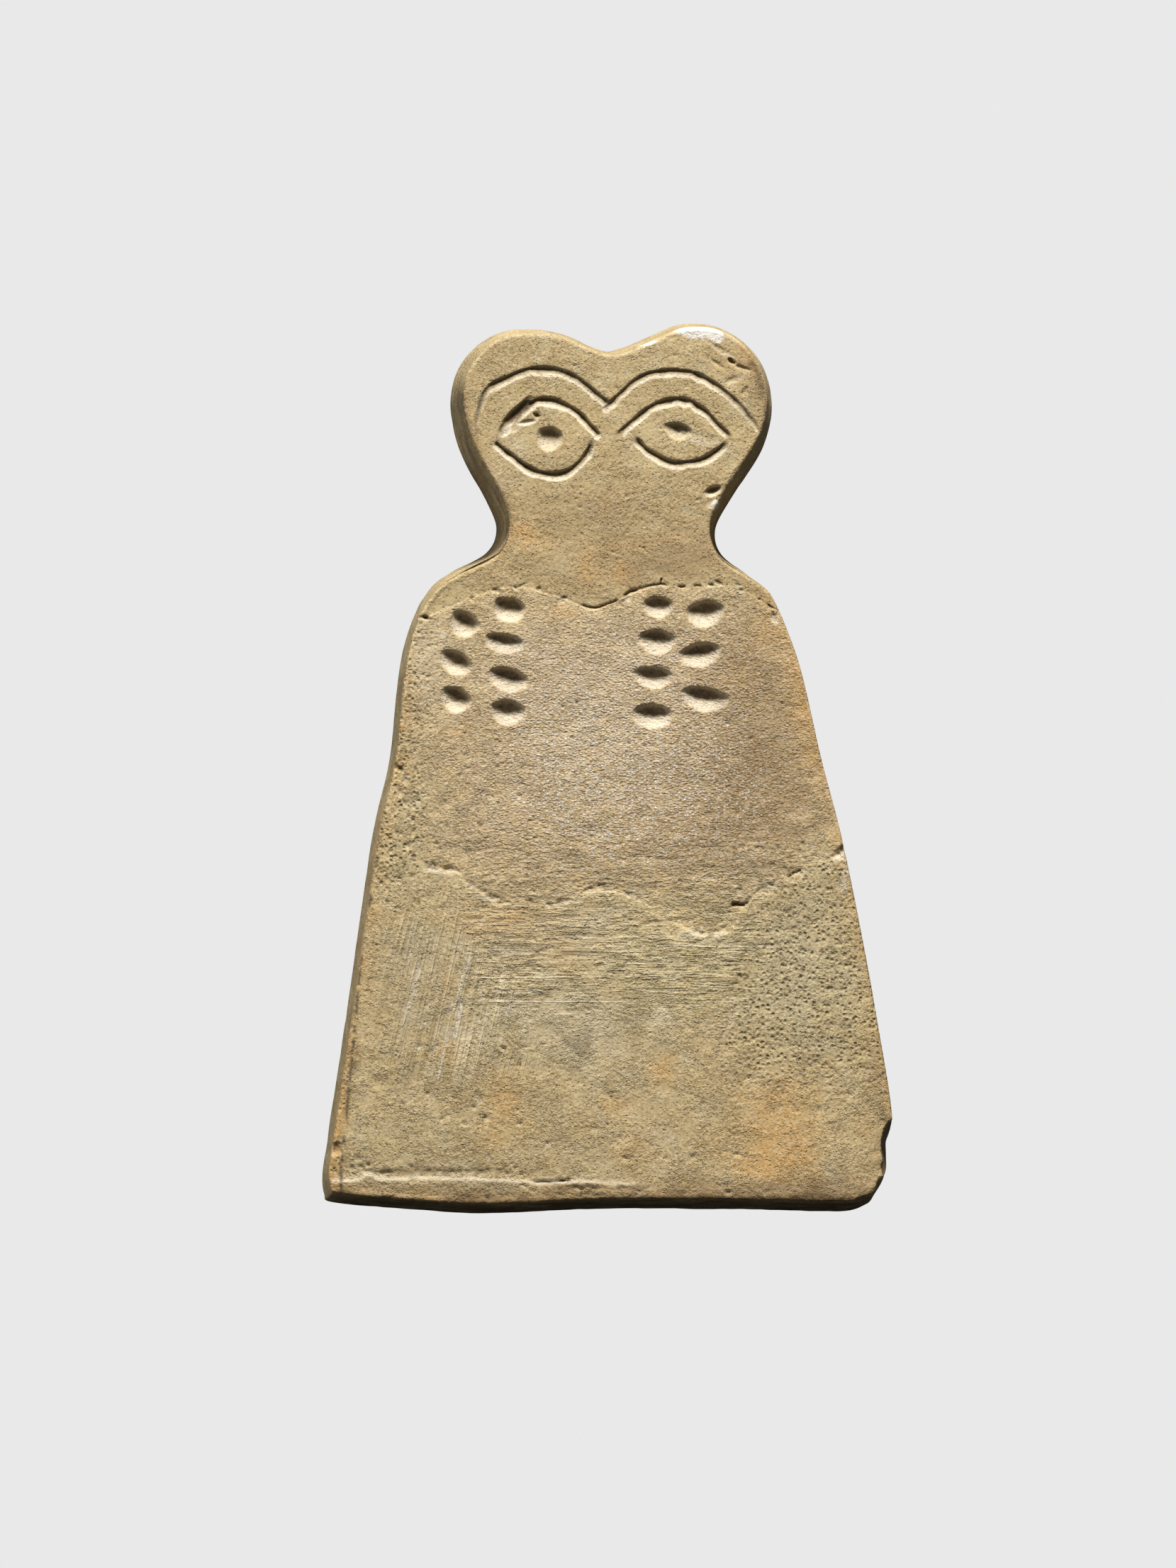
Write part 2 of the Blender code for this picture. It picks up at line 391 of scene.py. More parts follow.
@dataclass
class Carving:
    """Everything that is cut into the face or has happened to it since."""

    # The face is set a little off the middle of the back
    origin: Point = (-0.33, -0.33)
    noise: Lattice = field(default_factory=lambda: Lattice(11))

    brows: tuple[Stroke, ...] = (
        Stroke(
            ((-9.3, 23.3), (-9.5, 25.0), (-9.0, 26.9), (-8.4, 27.75), (-7.0, 28.45), (-5.5, 28.95),
             (-4.0, 29.0), (-3.0, 28.75), (-2.0, 28.25), (-1.0, 27.45), (0.0, 26.65)),
            0.19, 0.27, fade_in=6.0, lip=2.0, dirt_and_shade=0.75, crest=0.6, wander=0.03,
        ),
        Stroke(
            ((0.0, 26.25), (1.0, 27.2), (2.0, 28.1), (3.0, 28.65), (4.0, 28.85), (5.0, 28.9), (6.0, 28.8),
             (7.0, 28.45), (8.0, 27.85), (9.0, 27.1), (10.0, 26.1), (11.0, 24.75), (11.7, 23.9)),
            0.18, 0.26, fade_out=6.0, lip=2.0, dirt_and_shade=0.75, crest=0.6, wander=0.03,
        ),
    )
    brow_end: Stroke = Stroke(
        ((6.2, 28.7), (7.0, 28.4), (8.0, 27.8), (9.0, 27.05), (10.0, 26.05), (11.0, 24.7), (11.7, 23.8)),
        0.07, 0.13, fade_in=0.5, lip=5.0, dirt_and_shade=0.3, crest=0.5, wander=0.04,
    )
    lids: tuple[Stroke, ...] = (
        Stroke(
            ((-7.9, 24.1), (-7.5, 24.8), (-6.9, 25.4), (-6.2, 25.9), (-5.5, 26.45), (-4.8, 26.75),
             (-4.0, 26.75), (-3.0, 26.4), (-2.0, 25.75), (-1.2, 24.9), (-0.7, 24.35)),
            0.20, 0.31, fade_in=0.8, lip=1.8, dirt_and_shade=0.8, crest=0.75, wander=0.03,
        ),
        Stroke(
            ((-7.95, 23.5), (-7.0, 22.75), (-6.0, 22.0), (-5.0, 21.5), (-4.1, 21.35), (-3.0, 21.5),
             (-2.1, 22.05), (-1.4, 22.9), (-1.0, 23.8)),
            0.20, 0.31, fade_out=0.8, lip=1.8, dirt_and_shade=0.8, crest=0.75, wander=0.03,
        ),
        Stroke(
            ((0.6, 24.0), (1.2, 24.6), (2.0, 25.3), (3.0, 26.1), (4.0, 26.6), (5.0, 26.8), (6.0, 26.7),
             (7.0, 26.1), (8.0, 25.15), (8.8, 24.35), (9.0, 23.95)),
            0.19, 0.29, fade_in=1.0, fade_out=0.5, lip=1.8, dirt_and_shade=0.8, crest=0.7, wander=0.03,
        ),
        Stroke(
            ((2.1, 24.1), (2.4, 23.7), (3.0, 23.1), (4.0, 22.55), (5.0, 22.2), (6.0, 22.25), (7.0, 22.5),
             (8.0, 23.1), (8.8, 23.8)),
            0.19, 0.29, fade_in=0.6, fade_out=0.8, lip=1.8, dirt_and_shade=0.8, crest=0.7, wander=0.03,
        ),
    )
    pupils: tuple[Hollow, ...] = (
        Hollow(-4.15, 23.85, 1.0, 0.95, 0.50, turn=-12, dirt_and_shade=0.8, pale=0.5, roundness=1.7),
        Hollow(5.2, 24.45, 1.15, 0.68, 0.40, turn=-14, dirt_and_shade=0.8, pale=0.35, roundness=1.5),
    )
    pits: tuple[Hollow, ...] = (
        Hollow(-10.35, 10.35, 1.15, 0.98, 0.62, turn=-30, dirt_and_shade=0.8, pale=0.6),
        Hollow(-10.95, 7.55, 1.28, 0.90, 0.58, turn=-28, dirt_and_shade=0.8, pale=0.6),
        Hollow(-10.95, 4.88, 1.20, 0.96, 0.58, turn=-24, dirt_and_shade=0.8, pale=0.6),
        Hollow(-7.05, 11.42, 1.22, 0.92, 0.58, turn=-12, dirt_and_shade=0.8, pale=0.6, roundness=2.2),
        Hollow(-7.45, 9.0, 1.52, 0.78, 0.50, turn=-10, dirt_and_shade=0.8, pale=0.6),
        Hollow(-7.15, 6.35, 1.52, 0.92, 0.58, turn=-14, dirt_and_shade=0.8, pale=0.6),
        Hollow(-7.15, 3.95, 1.32, 0.97, 0.60, turn=-5, dirt_and_shade=0.8, pale=0.6),
        Hollow(3.75, 11.65, 1.12, 0.82, 0.54, turn=0, dirt_and_shade=0.8, pale=0.6, roundness=2.0),
        Hollow(3.65, 9.15, 1.45, 0.95, 0.58, turn=-4, dirt_and_shade=0.8, pale=0.6),
        Hollow(3.4, 6.55, 1.5, 0.85, 0.56, turn=-6, dirt_and_shade=0.8, pale=0.6),
        Hollow(3.35, 3.75, 1.52, 0.92, 0.60, turn=-2, dirt_and_shade=0.8, pale=0.6),
        Hollow(7.2, 11.2, 1.42, 0.98, 0.62, turn=8, dirt_and_shade=0.8, pale=0.6, roundness=1.9),
        Hollow(6.8, 8.2, 1.62, 0.92, 0.62, turn=10, dirt_and_shade=0.8, pale=0.6),
        Hollow(7.1, 5.0, 1.78, 0.92, 0.60, turn=-9, dirt_and_shade=0.8, pale=0.6),
    )
    collar: tuple[Point, ...] = (
        (-16.0, 10.2), (-13.9, 11.1), (-12.8, 10.9), (-10.9, 11.9), (-8.8, 12.65), (-6.4, 13.05),
        (-5.0, 12.8), (-3.0, 12.2), (-1.6, 11.62), (-0.8, 11.5), (0.2, 11.9), (1.55, 12.5), (2.4, 12.98),
        (4.1, 13.2), (5.4, 13.1), (7.7, 13.2), (9.2, 13.1), (10.5, 12.6), (11.5, 11.9), (12.4, 11.5),
        (15.0, 10.5),
    )
    fracture: tuple[Point, ...] = (
        (-19.0, -6.0), (-15.0, -6.6), (-12.9, -7.15), (-11.8, -7.5), (-10.9, -7.55), (-10.5, -8.2),
        (-9.9, -8.6), (-9.1, -9.0), (-8.3, -9.4), (-7.5, -9.7), (-4.8, -9.95), (-3.4, -9.95), (-2.1, -9.2),
        (-1.5, -8.95), (-0.3, -8.7), (0.7, -8.95), (1.9, -9.3), (2.8, -9.8), (3.3, -10.6), (4.7, -11.2),
        (5.6, -11.5), (6.3, -12.0), (7.7, -12.1), (8.7, -11.9), (9.3, -11.3), (9.6, -10.7), (10.1, -9.95),
        (11.0, -9.05), (12.3, -8.35), (13.6, -7.8), (14.9, -7.1), (16.3, -6.45), (18.5, -5.6),
    )
    # Share of the skirt's step that shows along the fracture, from left to right
    step_strength: tuple[Point, ...] = (
        (-20.0, 0.5), (-14.0, 0.7), (-12.9, 1.4), (-8.0, 1.2), (-6.5, 0.6), (-3.0, 0.6), (-1.5, 1.1),
        (1.0, 1.0), (3.0, 0.7), (4.5, 1.2), (6.0, 2.0), (8.5, 1.8), (9.5, 1.2), (11.5, 0.9), (15.0, 0.8),
        (17.0, 1.3),
    )
    cracks: tuple[Stroke, ...] = (
        Stroke(((-14.6, 11.0), (-13.6, 10.95), (-12.7, 10.75)), 0.20, 0.35, fade_out=0.6, dirt_and_shade=1.0),
        Stroke(((-6.6, 13.0), (-6.1, 13.25), (-5.6, 13.5)), 0.10, 0.10, fade_out=0.5, dirt_and_shade=0.6),
        Stroke(((-5.0, 12.9), (-3.0, 12.28), (-1.9, 11.8)), 0.07, 0.07, fade_in=1.5, dirt_and_shade=0.45, wander=0.05),
        Stroke(((-2.0, 11.85), (-1.1, 11.62), (-0.5, 11.62), (0.3, 11.95), (1.0, 12.3)), 0.11, 0.30,
               fade_in=0.5, fade_out=0.5, dirt_and_shade=1.0, wander=0.08),
        Stroke(((1.2, 12.45), (1.7, 12.65), (2.45, 13.02)), 0.17, 0.36, fade_in=0.3, fade_out=0.3, dirt_and_shade=1.0,
               wander=0.10),
        Stroke(((2.4, 13.0), (3.2, 13.22), (4.1, 13.3), (4.3, 13.28)), 0.09, 0.22, fade_out=0.2, dirt_and_shade=0.9,
               wander=0.09),
        Stroke(((3.9, 13.35), (4.0, 13.7)), 0.10, 0.22, dirt_and_shade=1.0),
        Stroke(((5.15, 13.18), (5.45, 13.13), (5.75, 13.2)), 0.11, 0.25, fade_in=0.1, fade_out=0.1,
               dirt_and_shade=1.0),
        Stroke(((6.3, 13.2), (6.6, 13.27), (6.9, 13.2)), 0.09, 0.16, fade_in=0.1, fade_out=0.1, dirt_and_shade=0.9),
        Stroke(((11.6, 11.95), (12.2, 11.6), (12.8, 11.4)), 0.10, 0.20, fade_in=0.3, dirt_and_shade=0.7),
        Stroke(((-8.9, -9.0), (-8.2, -9.25), (-7.4, -9.65), (-6.0, -9.78)), 0.08, 0.12, fade_in=0.3,
               fade_out=0.6, dirt_and_shade=0.8, wander=0.08),
        Stroke(((-5.8, -9.75), (-4.6, -9.85), (-3.7, -9.9)), 0.06, 0.08, fade_in=0.5, fade_out=0.4, dirt_and_shade=0.5,
               wander=0.08),
        Stroke(((-2.0, -9.05), (-1.5, -8.8), (-0.9, -8.7)), 0.11, 0.20, fade_in=0.2, fade_out=0.2, dirt_and_shade=0.9,
               wander=0.08),
        Stroke(((-0.7, -8.55), (-0.2, -8.5), (0.2, -8.6)), 0.10, 0.18, fade_in=0.1, fade_out=0.2, dirt_and_shade=0.9),
        Stroke(((1.2, -8.95), (2.0, -9.2), (2.6, -9.6)), 0.07, 0.10, fade_in=0.2, fade_out=0.3, dirt_and_shade=0.6),
        Stroke(((2.0, -11.9), (2.6, -11.4), (3.6, -11.1), (4.6, -11.0), (5.2, -11.1)), 0.07, 0.12,
               fade_in=0.5, fade_out=0.4, dirt_and_shade=0.75, wander=0.08),
        Stroke(((9.05, -9.95), (9.5, -9.85), (10.0, -9.9), (10.4, -9.6)), 0.15, 0.34, fade_in=0.2,
               fade_out=0.3, dirt_and_shade=1.0, wander=0.05),
        Stroke(((10.6, -9.2), (11.2, -8.75), (12.0, -8.3)), 0.08, 0.14, fade_in=0.2, fade_out=0.2, dirt_and_shade=0.8,
               wander=0.08),
        Stroke(((13.1, -7.95), (13.6, -7.6), (14.2, -7.35)), 0.11, 0.22, fade_in=0.2, fade_out=0.2, dirt_and_shade=0.9,
               wander=0.06),
        Stroke(((1.0, -10.9), (1.8, -10.6), (2.8, -10.5)), 0.06, 0.08, fade_in=0.2, fade_out=0.3, dirt_and_shade=0.6),
        Stroke(((-17.7, -31.1), (-16.5, -31.2), (-15.1, -31.05)), 0.15, 0.35, fade_in=0.3, fade_out=0.5,
               dirt_and_shade=1.0, wander=0.08),
        Stroke(((-5.3, -29.95), (-4.2, -30.0), (-2.5, -29.9)), 0.12, 0.22, fade_in=0.3, fade_out=0.4,
               dirt_and_shade=0.95, wander=0.08),
        Stroke(((-1.7, -30.3), (0.2, -30.45), (2.8, -30.3)), 0.07, 0.10, fade_in=0.4, fade_out=0.8, dirt_and_shade=0.6,
               wander=0.08),
        Stroke(((-2.3, -31.0), (-1.2, -30.85), (0.4, -31.0)), 0.08, 0.12, fade_in=0.3, fade_out=0.4,
               dirt_and_shade=0.8, wander=0.06),
        Stroke(((-17.9, -29.2), (-17.0, -29.3), (-16.2, -29.35), (-15.4, -29.3)), 0.09, 0.14, fade_in=0.4,
               fade_out=0.4, dirt_and_shade=0.8, wander=0.06),
        Stroke(((7.9, -30.15), (8.4, -30.2), (8.9, -30.15)), 0.06, 0.10, fade_in=0.1, fade_out=0.1,
               dirt_and_shade=0.8),
        Stroke(((-5.0, 13.9), (-4.0, 14.0)), 0.05, 0.05, fade_in=0.3, fade_out=0.3, dirt_and_shade=0.5),
    )
    scratches: tuple[Stroke, ...] = (
        Stroke(((-10.35, -16.6), (-10.75, -18.2), (-11.1, -19.8)), 0.07, 0.05, fade_in=0.6, fade_out=0.4,
               pale=1.0),
        Stroke(((-11.3, -18.8), (-11.9, -20.9), (-12.6, -23.0)), 0.05, 0.04, fade_in=0.8, fade_out=0.8,
               pale=0.55),
        Stroke(((-10.1, -13.3), (-10.3, -14.6), (-10.7, -16.3)), 0.10, 0.04, fade_in=0.5, fade_out=0.5,
               pale=0.35),
        Stroke(((-8.8, -16.0), (-9.3, -18.6), (-9.9, -21.0)), 0.05, 0.03, fade_in=1.0, fade_out=0.6,
               pale=0.5),
        Stroke(((-6.9, -15.4), (-7.5, -17.9), (-8.2, -20.6)), 0.07, 0.035, fade_in=1.0, fade_out=0.6,
               pale=0.45),
        Stroke(((-13.4, -13.6), (-14.1, -16.1), (-14.9, -19.4)), 0.12, 0.04, fade_in=1.0, fade_out=1.0,
               pale=0.35),
        Stroke(((-13.0, -14.2), (-13.6, -16.6), (-14.2, -18.8)), 0.06, 0.03, fade_in=0.6, fade_out=0.6,
               pale=0.3),
        Stroke(((-10.7, -13.1), (-8.4, -13.3), (-5.0, -13.2), (-2.0, -13.0)), 0.06, 0.05, fade_in=0.4,
               fade_out=1.5, pale=0.35),
        Stroke(((-9.5, -16.1), (-6.5, -16.3), (-3.5, -16.25)), 0.045, 0.035, fade_in=0.5, fade_out=1.0,
               pale=0.4),
        Stroke(((-13.9, -10.3), (-12.0, -10.2), (-9.5, -10.25), (-5.5, -10.3)), 0.06, 0.06, fade_in=0.5,
               fade_out=2.0, dirt_and_shade=0.3, pale=0.2),
        Stroke(((-14.7, -20.8), (-13.4, -20.4), (-11.4, -20.1)), 0.06, 0.04, fade_in=0.5, fade_out=0.5,
               pale=0.4),
        Stroke(((15.2, -25.6), (16.4, -25.2), (17.9, -24.7)), 0.06, 0.04, fade_in=0.4, fade_out=0.4,
               pale=0.3),
        Stroke(((-12.0, -21.9), (-10.9, -21.6), (-9.6, -21.4), (-8.1, -21.1)), 0.04, 0.03, fade_in=0.3,
               fade_out=0.5, dirt_and_shade=0.4),
    )
    # Middle, half size, direction in degrees, length and number of each field of rubbing marks
    rubbing: tuple[tuple[Point, Point, float, float, int], ...] = (
        ((-11.5, -16.5), (3.0, 3.5), 78.0, 6.0, 44),
        ((-8.0, -17.0), (2.8, 3.8), 77.0, 5.0, 40),
        ((-14.0, -16.0), (1.8, 4.5), 79.0, 5.5, 34),
        ((-15.6, -8.5), (1.6, 6.0), 80.0, 3.5, 40),
        ((-14.6, 0.0), (0.8, 5.0), 82.0, 2.5, 14),
        ((14.5, -12.0), (2.6, 6.0), 98.0, 1.6, 40),
        ((-4.5, -13.0), (6.5, 3.8), 2.0, 6.0, 34),
        ((-7.0, -12.0), (4.5, 2.0), 5.0, 4.0, 12),
        ((4.5, -13.6), (5.5, 3.8), -3.0, 3.0, 26),
        ((4.0, -7.0), (8.0, 2.2), 2.0, 1.6, 50),
        ((10.0, -3.5), (2.5, 2.0), 80.0, 2.0, 12),
        ((-3.0, -18.0), (5.0, 1.2), 2.0, 3.5, 10),
        ((9.0, -15.0), (3.0, 2.5), 2.0, 2.5, 16),
    )
    # Middle, half size, smallest and largest radius, upright stretch and number of each field of dents
    dents: tuple[tuple[Point, Point, float, float, float, int], ...] = (
        ((0.0, -2.0), (13.5, 7.0), 0.09, 0.20, 0.8, 150),
        ((-9.0, -3.0), (5.0, 4.5), 0.12, 0.26, 0.8, 70),
        ((13.8, -13.0), (4.2, 7.5), 0.12, 0.24, 1.3, 230),
        ((-15.0, -5.0), (1.6, 6.0), 0.12, 0.24, 1.7, 60),
        ((0.0, -25.0), (18.0, 5.0), 0.10, 0.30, 0.8, 130),
        ((0.0, -31.0), (18.0, 0.8), 0.12, 0.30, 0.6, 90),
        ((-12.5, -29.15), (6.5, 0.4), 0.12, 0.28, 0.7, 60),
        ((0.0, 27.0), (10.0, 4.0), 0.07, 0.16, 0.8, 60),
        ((2.0, 18.5), (6.0, 3.0), 0.08, 0.18, 0.6, 60),
    )
    damage: tuple[Hollow, ...] = (
        Hollow(-6.45, 25.7, 1.45, 0.50, 0.50, turn=43, dirt_and_shade=0.9, roundness=2.4),
        Hollow(-5.7, 26.65, 0.55, 0.30, 0.12, turn=30, dirt_and_shade=0.7),
        Hollow(-7.3, 24.35, 0.62, 0.30, 0.14, turn=44, pale=0.8),
        Hollow(-5.8, 25.05, 0.95, 0.22, 0.13, turn=10, pale=0.8),
        Hollow(-5.1, 25.55, 0.30, 0.22, 0.26, turn=-20, dirt_and_shade=0.9),
        Hollow(-6.8, 24.7, 0.7, 0.45, 0.12, turn=35, pale=0.2),
        Hollow(6.9, 23.95, 1.5, 0.55, 0.05, turn=-14, pale=0.3),
        Hollow(6.32, 24.95, 0.05, 0.2, 0.10, turn=-10, dirt_and_shade=1.0),
        Hollow(3.0, 30.95, 0.85, 0.2, 0.06, turn=12, pale=0.5),
        Hollow(4.6, 31.3, 0.5, 0.2, 0.10, turn=10, dirt_and_shade=0.4),
        Hollow(9.1, 29.55, 0.38, 0.22, 0.32, turn=-35, dirt_and_shade=0.9),
        Hollow(9.85, 29.1, 0.75, 0.2, 0.16, turn=-18, dirt_and_shade=0.3),
        Hollow(8.0, 29.4, 0.7, 0.18, 0.10, turn=-35, dirt_and_shade=0.3),
        Hollow(9.2, 28.2, 0.7, 0.3, 0.09, turn=20, pale=0.2),
        Hollow(8.3, 30.4, 1.2, 0.25, 0.08, turn=-30, pale=0.3),
        Hollow(10.1, 27.4, 0.4, 0.3, 0.10, turn=60, dirt_and_shade=0.3),
        Hollow(7.75, 20.1, 0.75, 0.42, 0.40, turn=18, dirt_and_shade=0.8, pale=0.6),
        Hollow(7.95, 19.3, 0.75, 0.6, 0.16, turn=35, pale=0.5),
        Hollow(-9.1, 26.5, 0.35, 1.0, 0.10, turn=-20, pale=0.15),
        Hollow(-13.6, -20.2, 0.42, 0.30, 0.12, turn=-30, dirt_and_shade=0.3, pale=0.3),
        Hollow(-7.5, -20.35, 0.32, 0.16, 0.16, turn=-15, dirt_and_shade=0.7),
        Hollow(-5.9, -20.3, 0.55, 0.2, 0.12, turn=8, dirt_and_shade=0.45),
        Hollow(-6.5, -18.3, 0.26, 0.22, 0.12, turn=0, dirt_and_shade=0.5, pale=0.3),
        Hollow(-8.6, -21.0, 0.3, 0.15, 0.10, turn=10, dirt_and_shade=0.5),
        Hollow(4.2, -26.2, 1.3, 0.9, 0.10, turn=10, pale=0.1),
        Hollow(4.4, -23.4, 1.6, 0.7, 0.07, turn=-15),
        Hollow(-2.0, -21.9, 1.6, 0.5, 0.05, turn=12),
        Hollow(-9.2, -24.0, 0.5, 0.35, 0.10, turn=-40, pale=0.2),
        Hollow(-9.0, -25.8, 0.35, 0.6, 0.09, turn=-20, dirt_and_shade=0.2),
        Hollow(-16.4, -22.9, 0.9, 0.5, 0.06, turn=10),
        Hollow(17.0, -6.2, 0.7, 0.5, 0.28, turn=40, pale=0.6),
        Hollow(17.5, -7.3, 0.35, 0.5, 0.2, turn=10, pale=0.6),
        Hollow(12.2, 10.9, 0.3, 0.5, 0.14, turn=20, pale=0.5),
        Hollow(-10.9, -24.0, 0.4, 0.2, 0.07, turn=0, dirt_and_shade=0.2),
        Hollow(-15.6, 2.2, 0.35, 0.5, 0.25, turn=10, dirt_and_shade=0.3),
        Hollow(-15.0, -0.2, 0.45, 0.35, 0.22, turn=-30, dirt_and_shade=0.5),
    )
    # Packed brown soil
    soil: tuple[Patch, ...] = (
        Patch(-6.4, 25.75, 1.35, 0.40, 1.3, turn=43),
        Patch(-5.5, 26.6, 0.7, 0.24, 0.8, turn=30),
        Patch(10.5, 29.4, 0.35, 0.25, 0.9, turn=-20),
        Patch(9.0, 29.75, 0.5, 0.2, 0.8, turn=-35),
        Patch(11.3, 27.4, 0.35, 2.2, 0.55, turn=12),
        Patch(7.9, 20.25, 0.6, 0.22, 0.9, turn=14),
        Patch(0.6, 11.9, 1.2, 0.16, 0.6, turn=22),
        Patch(9.5, -9.9, 0.8, 0.2, 0.9, turn=6),
        Patch(-1.0, -31.9, 19.0, 0.85, 1.0),
        Patch(13.0, -31.7, 6.5, 0.8, 0.9),
        Patch(-12.8, -29.15, 5.0, 0.24, 0.70),
        Patch(-18.7, -30.9, 1.6, 0.5, 0.5, turn=-10),
        Patch(-19.9, -31.2, 0.7, 0.30, 1.2, turn=-20),
        Patch(-5.8, -9.85, 1.6, 0.14, 0.5, turn=-4),
        Patch(12.6, -8.2, 1.4, 0.14, 0.5, turn=30),
        Patch(-1.0, -30.3, 4.0, 0.22, 0.6),
    )
    border_line: tuple[Point, ...] = (
        (-20.4, -29.95), (-18.2, -29.9), (-17.6, -29.6), (-17.2, -29.45), (-16.7, -29.6), (-16.1, -29.8),
        (-12.0, -29.75), (-7.0, -29.92), (-4.5, -30.05), (-2.0, -29.95), (0.5, -30.1), (3.0, -30.1),
        (7.0, -30.0),
    )
    side_line: tuple[Point, ...] = (
        (-16.2, -4.0), (-17.1, -9.3), (-17.5, -11.5), (-17.9, -14.5), (-18.15, -17.5), (-18.35, -20.0),
        (-18.6, -22.5), (-18.85, -25.0), (-19.1, -27.5), (-19.25, -29.4),
    )
    ochre: tuple[Patch, ...] = (
        Patch(-5.8, 16.9, 1.5, 0.8, 0.75, turn=-15),
        Patch(-1.45, 14.4, 0.9, 1.5, 0.65),
        Patch(1.0, 14.2, 0.8, 1.1, 0.50),
        Patch(3.0, 16.3, 2.6, 0.4, 0.30, turn=8),
        Patch(-7.5, -11.2, 3.2, 1.1, 0.80),
        Patch(-3.5, -13.4, 2.2, 1.1, 0.35),
        Patch(-11.6, -20.7, 0.9, 0.7, 0.65),
        Patch(-11.4, -15.6, 0.6, 1.0, 0.45),
        Patch(-7.4, -24.3, 1.3, 1.6, 0.80),
        Patch(-8.4, -26.9, 1.2, 1.2, 0.40),
        Patch(-5.4, -22.6, 1.8, 1.0, 0.25),
        Patch(0.8, -24.8, 1.5, 1.0, 0.60),
        Patch(2.0, -27.6, 1.6, 0.8, 0.55),
        Patch(4.0, -22.0, 1.0, 1.3, 0.70),
        Patch(8.3, -21.6, 1.6, 1.0, 0.55),
        Patch(12.4, -24.6, 3.0, 1.8, 0.90),
        Patch(12.2, -27.5, 2.6, 1.6, 1.10),
        Patch(10.6, -29.0, 1.7, 0.9, 1.00),
        Patch(13.3, -28.6, 1.4, 1.2, 0.70),
        Patch(13.8, 5.5, 0.9, 5.0, 0.75, turn=12),
        Patch(11.5, 9.8, 1.4, 1.2, 0.55),
        Patch(9.0, 6.5, 1.6, 1.0, 0.35),
        Patch(-3.4, 11.3, 1.6, 0.6, 0.35),
        Patch(-11.0, 2.4, 1.6, 0.8, 0.35),
        Patch(10.4, 30.0, 1.3, 0.8, 0.45, turn=-40),
    )
    umber: tuple[Patch, ...] = (
        Patch(11.5, 1.0, 3.6, 8.5, 1.0, turn=8),
        Patch(7.5, -3.5, 5.0, 3.5, 0.55),
        Patch(-2.0, -6.8, 8.0, 2.6, 0.40),
        Patch(-13.5, -16.0, 4.0, 5.0, 0.22),
        Patch(9.5, 9.0, 4.0, 3.0, 0.35),
        Patch(-2.0, -31.3, 19.0, 0.9, 1.0),
        Patch(13.0, -31.0, 7.0, 1.1, 1.0),
        Patch(19.4, -24.0, 0.8, 3.0, 0.6),
        Patch(2.5, 16.0, 6.0, 2.2, 0.65),
        Patch(5.2, 14.7, 3.2, 0.8, 0.50, turn=10),
        Patch(0.0, 19.0, 5.0, 1.4, 0.30),
        Patch(-4.0, 19.5, 4.0, 2.0, 0.22),
        Patch(-2.0, 13.6, 7.0, 1.2, 0.35),
        Patch(11.2, 27.5, 0.9, 3.0, 0.8, turn=8),
        Patch(-11.0, 25.5, 0.6, 3.5, 0.6, turn=-14),
        Patch(9.4, 29.6, 1.6, 1.0, 0.45, turn=-40),
    )
    # Fresh or bleached stone: whiter and with a sharper edge than the other patches
    chalk: tuple[Patch, ...] = (
        Patch(6.3, 31.8, 1.5, 0.40, 1.2, turn=-6),
        Patch(7.9, 31.35, 0.55, 0.38, 1.1, turn=-30),
        Patch(2.9, 30.85, 0.9, 0.20, 0.8, turn=10),
        Patch(1.5, 30.6, 0.5, 0.15, 0.7, turn=10),
        Patch(-11.9, 9.7, 0.35, 0.50, 0.47),
        Patch(-6.1, 9.0, 0.45, 0.55, 0.47),
        Patch(16.8, -6.3, 0.5, 0.6, 0.46),
        Patch(17.3, -8.4, 0.20, 0.9, 0.55, turn=6),
        Patch(8.0, 19.2, 0.50, 0.55, 0.70, turn=35),
        Patch(15.7, -22.7, 0.13, 0.13, 1.2),
        Patch(12.4, 10.6, 0.25, 0.5, 0.50, turn=20),
        Patch(-14.6, -0.9, 0.5, 0.35, 0.46),
    )
    # Paler stone: the broad patches are bleached, and the thin ones along the fracture are painted highlights
    # on its edges, which face the light
    bleached_and_highlit: tuple[Patch, ...] = (
        Patch(-13.2, 7.5, 2.0, 4.0, 0.12),
        Patch(-1.0, 5.0, 6.0, 5.5, 0.12),
        Patch(-6.5, 23.3, 0.9, 0.8, 0.15),
        Patch(-8.5, 20.5, 1.0, 1.6, 0.15),
        Patch(-5.0, -12.5, 5.5, 2.2, 0.10),
        Patch(6.3, -12.0, 0.9, 0.25, 0.45, turn=-14),
        Patch(8.0, -12.1, 0.7, 0.22, 0.40, turn=8),
        Patch(-8.7, -9.5, 0.7, 0.20, 0.45, turn=-20),
        Patch(-12.2, -7.6, 0.9, 0.20, 0.40, turn=-12),
        Patch(-1.2, -9.2, 0.6, 0.18, 0.40, turn=15),
        Patch(14.0, -14.0, 3.0, 5.5, 0.12),
        Patch(-2.0, -19.5, 5.0, 2.5, 0.08),
        Patch(-1.6, -19.5, 0.9, 2.2, 0.15),
    )
    olive: tuple[Patch, ...] = (
        Patch(6.0, -14.0, 11.0, 4.5, 0.8),
        Patch(14.5, -14.0, 5.0, 8.0, 0.7),
        Patch(-14.8, -5.0, 2.5, 4.5, 0.8, turn=-12),
        Patch(-3.0, -18.0, 6.0, 3.0, 0.45),
        Patch(-13.0, -16.0, 4.0, 5.0, 0.35),
        Patch(14.5, -5.5, 2.5, 1.5, 0.7, turn=35),
        Patch(-14.0, -26.0, 4.0, 3.0, 0.25),
    )
